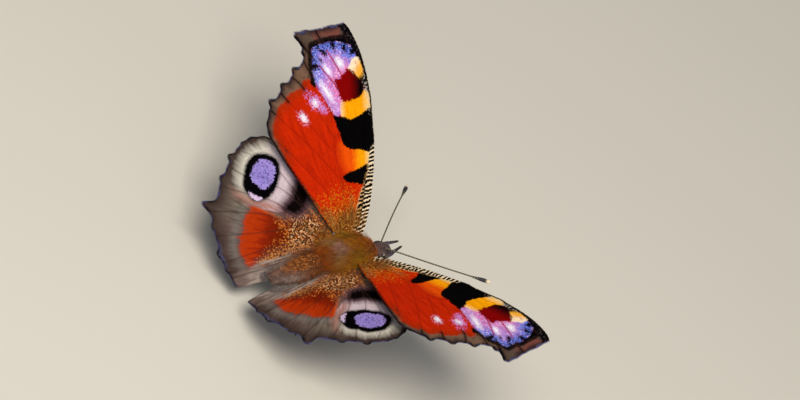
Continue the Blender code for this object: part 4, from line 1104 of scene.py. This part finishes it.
def skin_finish():
    """Chitin skin between the hairs: dark, satin, mottled, pitted where hairs grow about 0.15 mm apart."""
    material, tree, shader = new_material("body_skin", Roughness=0.55, Specular_IOR_Level=0.35)
    coat = node(tree, "Attribute", attribute_name="coat")
    place = node(tree, "TexCoord", out="Object")
    mottle = node(tree, "TexNoise", {"Vector": place, "Scale": 1 / (0.5 * MM), "Detail": 3.0})
    depth = node(tree, "Math", (mottle, 0.6, 0.25), operation="MULTIPLY_ADD")
    shaded = node(tree, "VectorMath", {0: coat, "Scale": depth}, operation="SCALE")
    pits = node(tree, "TexVoronoi", {"Vector": place, "Scale": 1 / (0.15 * MM)}, out="Distance")
    dress_shader(tree, shader, shaded, pits, 0.5, 0.03)
    return material


# Tubes: feelers, palps, tongue and legs

def tube_piece(name, path, radius, sides, reference, finish, replaces, along):
    """A round profile carried along a path, square to it, with a flat cap at either end, and how far along
    it each point lies."""
    ahead = unit(np.gradient(path, axis=0))
    across = unit(np.cross(ahead, np.asarray(reference, float)))
    above = np.cross(across, ahead)
    angle = np.arange(sides) * 2 * np.pi / sides
    spoke = across[:, None] * np.cos(angle)[:, None] + above[:, None] * np.sin(angle)[:, None]
    points = (path[:, None] + radius[:, None, None] * spoke).reshape(-1, 3)
    fields = {"along": np.repeat(along, sides)}
    return add_piece(name, points, closed_grid(len(path), sides), [finish], replaces, fields)


def tube_hair(name, path, radius, reference, seed, colouring, finish, slot, count, stretch, crowding, depth,
              splay, bend, length, spread, width, tones, lifted_from=2.0):
    """Hair round a tube, lying along it and splayed outward. From a place on, none of it points down."""
    draw = np.random.default_rng(seed)
    t = np.linspace(0, 1, len(path))
    place = draw.uniform(*stretch, count) ** crowding
    angle = draw.uniform(0, 2 * np.pi, count)
    middle = np.stack([np.interp(place, t, path[:, k]) for k in range(3)], -1)
    ahead = unit(np.stack([np.interp(place, t, np.gradient(path[:, k])) for k in range(3)], -1))
    across = unit(np.cross(ahead, np.asarray(reference, float)))
    out = across * np.cos(angle)[:, None] + np.cross(across, ahead) * np.sin(angle)[:, None]
    out[:, 2] = np.where(place > lifted_from, np.abs(out[:, 2]), out[:, 2])
    roots = middle + out * np.interp(place, t, radius)[:, None] * depth
    lie = unit(ahead + np.interp(place, *splay)[:, None] * out)
    long = np.interp(place, *length) * draw.uniform(*spread, count)
    locks = tufts(roots, lie, bend * out, long, np.interp(place, *width), np.cross(lie, out), 0.6, 3)
    colours = tinted(colouring(place, out), draw.uniform(*tones, count))
    return coat_piece(name, locks, colours, np.stack([angle / 6.3, place], -1) * 0.96 + 0.02, finish, slot)


def plain(code):
    """A colouring that gives every hair the same colour."""
    return lambda place, _out: np.repeat(hues([code]), len(place), axis=0)


def antenna(side, finish):
    """A feeler: a thin ringed shaft with a little bow, swelling into a club with a blunt pale tip."""
    root, tip = mirrored(ANTENNA_ROOT, side), mirrored(ANTENNA_TIPS[side], side)
    middle = (root + tip) / 2 + mirrored((ANTENNA_BOW[side], 0, 0), side)
    rings = ANTENNA_SEGMENTS * 8
    path = evenly(smooth_path([root, middle, tip], 200), rings)
    t = np.linspace(0, 1, rings)
    left_over = np.linalg.norm(tip - root) * (1 - t)
    club = np.sin(0.5 * np.pi * np.clip(np.clip(1 - left_over / CLUB_LENGTH, 0, 1) / 0.75, 0, 1)) ** 2
    radius = SHAFT_RADIUS + (CLUB_RADIUS - SHAFT_RADIUS) * club
    blunt = np.clip((BLUNT_TIP - left_over) / BLUNT_TIP, 0, 1) ** 2.5
    radius *= np.sqrt(np.clip(1.02 - blunt, 0.02, 1))
    radius *= 1 - RING_DEPTH * np.abs(np.cos(np.pi * t * ANTENNA_SEGMENTS)) ** 6
    return tube_piece("feeler_" + side, path, radius, 14, (0, 0, 1), finish,
                      ["antenna_" + side], left_over)


def feeler_finish():
    """Ringed chitin with close scales: olive brown, a paler ring at each joint, a dark club, a cream tip."""
    material, tree, shader = new_material("feeler_chitin", Roughness=0.5, Specular_IOR_Level=0.4)
    left_over = node(tree, "Attribute", out="Fac", attribute_name="along")
    segment = ANTENNA_LENGTH / ANTENNA_SEGMENTS
    phase = node(tree, "Math", (left_over, 2 * math.pi / segment), operation="MULTIPLY")
    wave = node(tree, "Math", (phase,), operation="COSINE")
    ring = node(tree, "Math", (wave, 3.0, -1.4), operation="MULTIPLY_ADD", use_clamp=True)
    colour = mixed(tree, ring, linear("#3C3A2A"), linear("#8E8A68"))
    club = node(tree, "Math", (left_over, -1.4, 3.2), operation="MULTIPLY_ADD", use_clamp=True)
    colour = mixed(tree, club, colour, linear("#2C2A30"))
    tip = node(tree, "Math", (left_over, -3.0, 2.4), operation="MULTIPLY_ADD", use_clamp=True)
    dress_shader(tree, shader, mixed(tree, tip, colour, linear("#F0E4C8")))
    return material


def palp(side, skin, fur, seed):
    """A palp: a tapered core with close hair combed forward, the longest at its base. The hair is dark, with
    a violet grey base and inner side, and brown below."""
    path = smooth_path(mirrored(PALP_PATH, side), 40)
    t = np.linspace(0, 1, 40)
    rounding = np.clip((1.0 - t) / 0.06, 0.1, 1) ** 0.5
    radius = np.interp(t, [0, 0.3, 0.8, 1], [0.26, 0.22, 0.16, 0.14]) * rounding
    tube_piece("palp_core_" + side, path, radius, 16, (0, 0, 1), skin, ["palp_" + side], t)

    def shades(place, out):
        colours = blend(hues(["#17161F"]), hues(["#7A7088"]), 1 - 1.6 * place)
        colours = blend(colours, hues(["#6E5A50"]), -out[:, 2] * 1.2)
        facing = np.clip(-1.4 * out[:, 0] * SIDES[side], 0, 1) * np.clip(1.3 - 1.4 * place, 0, 1)
        return blend(colours, hues(["#A09AB6"]), facing)
    tube_hair("palp_coat_" + side, path, radius, (0, 0, 1), seed, shades, fur, "palp_fur", **PALP_HAIR)


def tongue(finish):
    """The tongue: a stem and a flat spiral that winds inwards as it thins, with fine rings."""
    turn = np.linspace(0, 1, 260)
    angle = math.radians(100) - turn * TONGUE_TURNS * 2 * np.pi
    reach = TONGUE_OUTER + (TONGUE_INNER - TONGUE_OUTER) * turn
    coil = np.array(TONGUE_CENTRE) + np.stack([0 * turn, -reach * np.cos(angle), reach * np.sin(angle)], -1)
    path = evenly(np.vstack([smooth_path([*TONGUE_STEM, coil[0]], 20)[:-1], coil]), 420)
    t = np.linspace(0, 1, 420)
    thick = TONGUE_RADIUS + (TONGUE_TIP_RADIUS - TONGUE_RADIUS) * t
    radius = thick * (1 - 0.08 * np.cos(2 * np.pi * t * TONGUE_RINGS))
    return tube_piece("tongue", path, radius, 12, (1, 0, 0), finish, ["proboscis"], t)


def leg_path(joints, side):
    """A walking leg's middle line, from the hip to the knee, down to the ankle and along the ground."""
    hip, knee, ankle, toe = joints
    foot = lie_down([(*ankle, ANKLE_HEIGHT), (*toe, TOE_HEIGHT)])
    corners = [np.array(hip), np.array(knee), *foot]
    stretches = []
    for a, b, steps in zip(corners, corners[1:], (144, 120, 136)):
        stretches.append(a + (b - a) * np.linspace(0, 1, steps)[:, None])
    path = np.vstack(stretches)
    half = 12
    bell = np.exp(-0.5 * (np.arange(-half, half + 1) / 5.0) ** 2)
    padded = np.vstack([np.repeat(path[:1], half, 0), path, np.repeat(path[-1:], half, 0)])
    rounded = np.stack([np.convolve(padded[:, k], bell / bell.sum(), "valid") for k in range(3)], -1)
    return mirrored(evenly(rounded, 360), side)


def leg(name, side, joints, finish, fur, seed):
    """A walking leg: stout femur, slimmer tibia, a foot of five small joints, short hair and two claws."""
    path = leg_path(joints, side)
    t = np.linspace(0, 1, len(path))

    def place_of(point):
        return np.argmin(np.linalg.norm(path - mirrored(point, side), axis=1)) / len(path)
    knee, ankle = place_of(joints[1]), place_of(lie_down((*joints[2], ANKLE_HEIGHT)))
    femur = FEMUR_RADIUS * np.sin(np.pi * np.clip(t / knee, 0, 1)) ** 0.6 * (t < knee)
    below_knee = np.clip((t - knee) / (ankle - knee), 0, 1)
    tibia = TIBIA_RADIUS * np.sin(np.pi * below_knee) ** 0.35 * (t > knee)
    joint = np.clip((t - ankle) / (1 - ankle), 0, 1) * 5
    foot = (FOOT_RADIUS - 0.012 * joint) * (0.8 + 0.25 * (joint % 1.0)) * (t > ankle)
    radius = np.maximum.reduce([femur, tibia, foot, np.full(len(t), SLIMMEST)])
    tube_piece(name + "_limb_" + side, path, radius, 12, LEG_REFERENCE, finish,
               [name + "_" + side], t)
    tube_hair(name + "_hair_" + side, path, radius, LEG_REFERENCE, seed, plain("#4A3526"), fur, "leg_chitin",
              length=((0, knee, ankle, 1), (0.55, 0.35, 0.2, 0.12)),
              width=((0, knee, 1), (0.07, 0.055, 0.035)), lifted_from=ankle - 0.05, **LEG_HAIR)
    way = unit(path[-1] - path[-12])
    beside = unit(np.cross(way, [0, 0, 1.0]))
    down = unit(lie_down([0, 0, BODY_HEIGHT - 1.0]))
    hooks = np.array([way + 0.5 * beside, way - 0.5 * beside])
    points, groups, along, _patch, _size = tufts(
        path[-1] + 0.02 * hooks, unit(hooks), np.tile(0.22 * down, (2, 1)), np.full(2, CLAW_LENGTH),
        np.full(2, CLAW_WIDTH), np.tile(beside, (2, 1)))
    add_piece(name + "_claws_" + side, points, groups, [finish], (), {"along": along})


def fore_leg(side, finish, fur, seed):
    """A brush-like foreleg, too short to walk on, folded under the head and clad in long hair."""
    path = evenly(smooth_path(mirrored(FORE_LEG, side), 100), 100)
    t = np.linspace(0, 1, 100)
    radius = np.interp(t, [0, 0.4, 0.8, 1], [0.2, 0.18, 0.14, 0.05])
    tube_piece("leg_fore_limb_" + side, path, radius, 12, (1, 0, 0), finish,
               ["leg_fore_" + side], t)
    tube_hair("leg_fore_hair_" + side, path, radius, (1, 0, 0), seed, plain("#5A4434"), fur, "leg_chitin",
              **FORE_LEG_HAIR)


def chitin_finish(name, code, pale_code, grain):
    """Insect chitin with flat scales: brown, satin, mottled every grain millimetres."""
    material, tree, shader = new_material(name, Roughness=0.42, Specular_IOR_Level=0.45)
    place = node(tree, "TexCoord", out="Object")
    mottle = node(tree, "TexNoise", {"Vector": place, "Scale": 1 / (grain * MM), "Detail": 3.0})
    share = node(tree, "Math", (mottle, 3.0, -1.1), operation="MULTIPLY_ADD", use_clamp=True)
    dress_shader(tree, shader, mixed(tree, share, linear(code), linear(pale_code)), mottle, 0.4, 0.02)
    return material


def eye_finish():
    """A compound eye: dark brown lenses under a clear coat, mottled with paler patches. Real lenses are
    0.02 mm across; these are drawn larger, so that they show."""
    material, tree, shader = new_material("compound_eye", Roughness=0.35, Specular_IOR_Level=0.5,
                                          Coat_Weight=0.6, Coat_Roughness=0.15)
    place = node(tree, "TexCoord", out="Object")
    patches = node(tree, "TexNoise", {"Vector": place, "Scale": 1 / (0.55 * MM), "Detail": 2.0})
    share = node(tree, "Math", (patches, 5.0, -2.3), operation="MULTIPLY_ADD", use_clamp=True)
    colour = mixed(tree, share, linear("#1C1112"), linear("#6A5148"))
    feeds = {"Vector": place, "Scale": 1 / (LENS_SIZE * MM), "Randomness": 0.15}
    lens = node(tree, "TexVoronoi", feeds, out="Distance")
    rim = node(tree, "Math", (lens, -0.9, 1.15), operation="MULTIPLY_ADD", use_clamp=True)
    shaded = node(tree, "VectorMath", {0: colour, "Scale": rim}, operation="SCALE")
    dress_shader(tree, shader, shaded, rim, 0.7, 0.012)
    return material


def eye(side, finish):
    """A compound eye: an oval dome, x = a sin(p) cos(q), y = b sin(p) sin(q), z = c cos(p)."""
    p = np.linspace(0.02, np.pi - 0.02, EYE_ROWS)
    q = np.arange(EYE_COLUMNS) * 2 * np.pi / EYE_COLUMNS
    pp, qq = np.meshgrid(p, q, indexing="ij")
    ball = np.stack([np.sin(pp) * np.cos(qq), np.sin(pp) * np.sin(qq), np.cos(pp)], -1).reshape(-1, 3)
    groups = closed_grid(EYE_ROWS, EYE_COLUMNS)
    if side == "right":
        groups = flipped(groups)
    points = mirrored(ball * EYE_SIZE + EYE_MIDDLE, side)
    return add_piece("eye_dome_" + side, points, groups, [finish], ["eye_" + side])


# Stage

def floor_sheet():
    """A plain pale floor of matt card, two metres across."""
    half = 1.0
    corners = [(-half, -half, 0), (half, -half, 0), (half, half, 0), (-half, half, 0)]
    mesh = bpy.data.meshes.new("floor")
    mesh.from_pydata(corners, [], [(0, 1, 2, 3)])
    piece = bpy.data.objects.new("floor", mesh)
    bpy.context.scene.collection.objects.link(piece)
    material, _tree, _shader = new_material("matt_card", Roughness=0.9, Specular_IOR_Level=0.15,
                                            Base_Color=linear("#D9D6CE"))
    mesh.materials.append(material)


def soft_light(name, direction, distance, size, power, code):
    """A square soft light that looks at the body from a direction in the insect's frame."""
    lamp = bpy.data.lights.new(name, "AREA")
    lamp.shape, lamp.size, lamp.energy, lamp.color = "SQUARE", size, power, linear(code)[:3]
    holder = bpy.data.objects.new(name, lamp)
    way = Vector(turned(0, -BODY_TILT) @ unit(np.array(direction, float)))
    holder.location = way * distance + Vector((0, 0, BODY_HEIGHT * MM))
    holder.rotation_euler = way.to_track_quat("Z", "Y").to_euler()
    bpy.context.scene.collection.objects.link(holder)


def studio():
    """A large key light over the wings, a fill beside the camera and a pale surround."""
    soft_light("key", (-0.25, 0.25, 0.95), 0.45, 0.3, 1.9, "#FFF6E8")
    soft_light("fill", (-0.6, 0.75, 0.35), 0.6, 0.4, 0.75, "#EAF0FF")
    world = bpy.data.worlds.new("surround")
    world.use_nodes = True
    background = world.node_tree.nodes["Background"]
    background.inputs["Color"].default_value = linear("#E6E8EA")
    background.inputs["Strength"].default_value = 0.27
    bpy.context.scene.world = world
    bpy.context.scene.view_settings.view_transform = "Standard"


def camera():
    """A long lens at the photograph's angle, turned to the point at the picture's middle."""
    right = VIEW_UP.cross(VIEW_FROM).normalized()
    up = VIEW_FROM.cross(right).normalized()
    place = VIEW_FROM.normalized() * VIEW_DISTANCE
    target = right * PICTURE_MIDDLE[0] + up * PICTURE_MIDDLE[1]
    back = (place - target).normalized()
    side = up.cross(back).normalized()
    tilt = Matrix(turned(0, -BODY_TILT).tolist())
    turn = tilt @ Matrix((side, back.cross(side), back)).transposed()
    lens = bpy.data.cameras.new("camera")
    lens.lens, lens.sensor_width, lens.clip_start, lens.clip_end = VIEW_LENS, 36.0, 0.01, 20.0
    holder = bpy.data.objects.new("camera", lens)
    holder.matrix_world = Matrix.Translation(Vector(stand([place])[0])) @ turn.to_4x4()
    bpy.context.scene.collection.objects.link(holder)
    bpy.context.scene.camera = holder


# The butterfly

def forewing_hair_region(uv):
    """Where raised scales stand on the forewing: round the root, gone 5.3 mm out, clear of the bars."""
    past_bars = edge_distance(uv, cubic(FOREWING["costa"], 40)) - np.interp(uv[:, 0], *COSTAL_BARS)
    return np.clip(past_bars / 0.3 + 0.5, 0, 1) * (1.1 - np.hypot(uv[:, 0], uv[:, 1]) / 4.8)


def wing_root_region(uv):
    """Where long hair from the thorax runs out over a wing: close to its root, gone 2.7 mm out."""
    return 1.2 - np.hypot(uv[:, 0] - 0.3, uv[:, 1]) / 2.0


def hind_edge_region(uv):
    """Where the forewing has a fringe of hair: within 0.6 mm of its hind edge, gone 7 mm out."""
    beside = np.clip(1.2 - 2 * edge_distance(uv, cubic(FOREWING["dorsum"], 40)), 0, 1)
    return beside * np.clip((7.0 - uv[:, 0]) / 3, 0, 1)


def raised_scale_region(uv):
    """Where the hindwing has raised scales: its speckled base, but not the smoke beside it."""
    return np.clip(np.minimum(in_loop(uv, SPECKLED_BASE) - 0.2, -0.5 - in_loop(uv, SMOKE)) / 0.8, 0, 1)


def inner_hair_region(uv):
    """Where the hindwing has long hair: within 1.5 mm of its inner edge, beside the abdomen."""
    return np.clip(1.5 - edge_distance(uv, cubic(HINDWING["dorsum"], 40)), 0, 1) * (uv[:, 0] < 9.5)


WING_MARKS = {"forewing": forewing_marks(pattern(FOREWING, *wing_grid())),
              "hindwing": hindwing_marks(pattern(HINDWING, *wing_grid()))}

upper_finishes = {"forewing": forewing_scales(), "hindwing": hindwing_scales()}
lower_finish = underside_scales()
fringe_fur = fur_finish("fringe_scales", 0.6, 0.05, 0.0, "#FFFFFF")
wing_fur = fur_finish("wing_hair", 0.6, 0.05, 0.15, "#E0A040")
silver_fur = fur_finish("fold_hair", 0.6, 0.1, 0.15, "#B8B2AC")
long_fur = fur_finish("thorax_hair", 0.6, 0.08, 0.22, "#D08A18")
short_fur = fur_finish("abdomen_hair", 0.6, 0.06, 0.18, "#B87020")
dark_fur = fur_finish("face_hair", 0.6, 0.1, 0.12, "#8A7A78")

# Hair of each wing: how many, where, length, width, lift, its reach from root to margin as a share, how far
# it lies aside, its fur and its colours; the sets of one kind of wing start with their name and seed
ROOT_HAIR = (420, wing_root_region, 1.2, 0.045, 0.6, 0.2, 0.0, long_fur,
             ("#B44A04", "#CC8418", "#9A3C06", "#DCA03A", "#6A3C10"))
WING_HAIR = {
    "forewing": (
        ("", 20, 2600, forewing_hair_region, 0.26, 0.065, 0.4, 0.3, 0.0, wing_fur,
         ("#C8740E", "#E6A83C", "#AE4204", "#1E0E04", "#D2600A", "#F0C470")),
        ("inner_", 80, 500, hind_edge_region, 0.7, 0.05, 0.4, 0.5, 0.9, wing_fur,
         ("#C8740E", "#DCA046", "#B4560E", "#7A4A2A"))),
    "hindwing": (
        ("", 20, 3800, raised_scale_region, 0.2, 0.07, 0.5, 0.7, 0.0, wing_fur,
         ("#7A3A10", "#B86C2C", "#4A1E0A", "#1A0C06", "#DDB27E", "#6A2A0C")),
        ("inner_", 30, 4200, inner_hair_region, 2.1, 0.06, 0.5, 0.7, 0.9, silver_fur,
         ("#94480C", "#8E5630", "#A08068", "#AC9A90", "#AEA49E", "#857672"))),
}
for number, wing in enumerate(POSES):
    kind = wing.split("_")[0]
    scales = kind + "_scales"
    wing_hair("root_" + wing, 70 + number, "thorax_fur", *ROOT_HAIR)
    membrane(wing, upper_finishes[kind], lower_finish)
    wing_fringe(wing, fringe_fur, scales, 10 + number)
    for part, seed, *hair in WING_HAIR[kind]:
        wing_hair(part + wing, seed + number, scales, *hair)

body_skin(skin_finish())
thorax_fur, abdomen_fur = (long_fur, "thorax_fur"), (short_fur, "abdomen_fur")
head_fur = (dark_fur, "head_fur")
thorax_hues = (("#C8861A", "#4E2404", "#A44404", "#8A6414", "#7A5A58"), 0.28)
abdomen_hues = (("#B05A14", "#DC9A56", "#1C0A04", "#6E3226", "#C46C1E", "#34120A"), 0.9)
flank_hues = (("#9A4A0C", "#C8823A", "#4E1E08", "#6E3222"), 0.6)
head_hues = (("#857078", "#A88E8C", "#2C2026", "#5E3420", "#C4AEA6"), 0.65)
under_hues = (("#4A2608", "#6A3A0C"), 0.6)
# Coats: name, seed, how many hairs, where along the body, sides, length, width, lift, gathering, hues, fur
COATS = (
    ("thorax_under", 61, 5200, (-6.0, 3.6), (0.0, np.pi), 0.8, 0.11, 0.9, 0.62, under_hues, thorax_fur),
    ("thorax", 62, 9500, (-6.35, 3.5), (0.0, 2.6), 1.45, 0.06, 0.85, 0.62, thorax_hues, thorax_fur),
    ("shoulders", 63, 6000, (-4.6, 3.4), (0.8, 2.2), 2.5, 0.06, 1.4, 0.62, thorax_hues, thorax_fur),
    ("abdomen", 64, 7500, (3.2, 11.5), (0.0, np.pi), 0.42, 0.12, 0.55, 0.3, abdomen_hues, abdomen_fur),
    ("flanks", 65, 3600, (2.6, 10.8), (0.8, 1.9), 1.5, 0.055, 1.1, 0.62, flank_hues, abdomen_fur),
    ("wisps", 67, 1500, (-5.0, 3.4), (0.5, 1.8), 3.3, 0.045, 1.3, 0.2, thorax_hues, thorax_fur),
    ("head", 66, 3000, (-9.0, -6.5), (0.0, np.pi), 0.55, 0.05, 1.0, 0.62, head_hues, head_fur),
)
for part, *coat in COATS:
    body_coat("coat_" + part, *coat)

eye_material = eye_finish()
feeler_material = feeler_finish()
leg_material = chitin_finish("leg_chitin", "#33241B", "#6A5038", 0.25)
tongue_material = chitin_finish("tongue_chitin", "#20140E", "#4A3020", 0.3)
for number, side in enumerate(SIDES):
    eye(side, eye_material)
    palp(side, leg_material, dark_fur, 40 + number)
    antenna(side, feeler_material)
    leg("leg_mid", side, MID_LEG, leg_material, dark_fur, 50 + number)
    leg("leg_hind", side, HIND_LEG, leg_material, dark_fur, 52 + number)
    fore_leg(side, leg_material, dark_fur, 54 + number)
tongue(tongue_material)

floor_sheet()
studio()
camera()
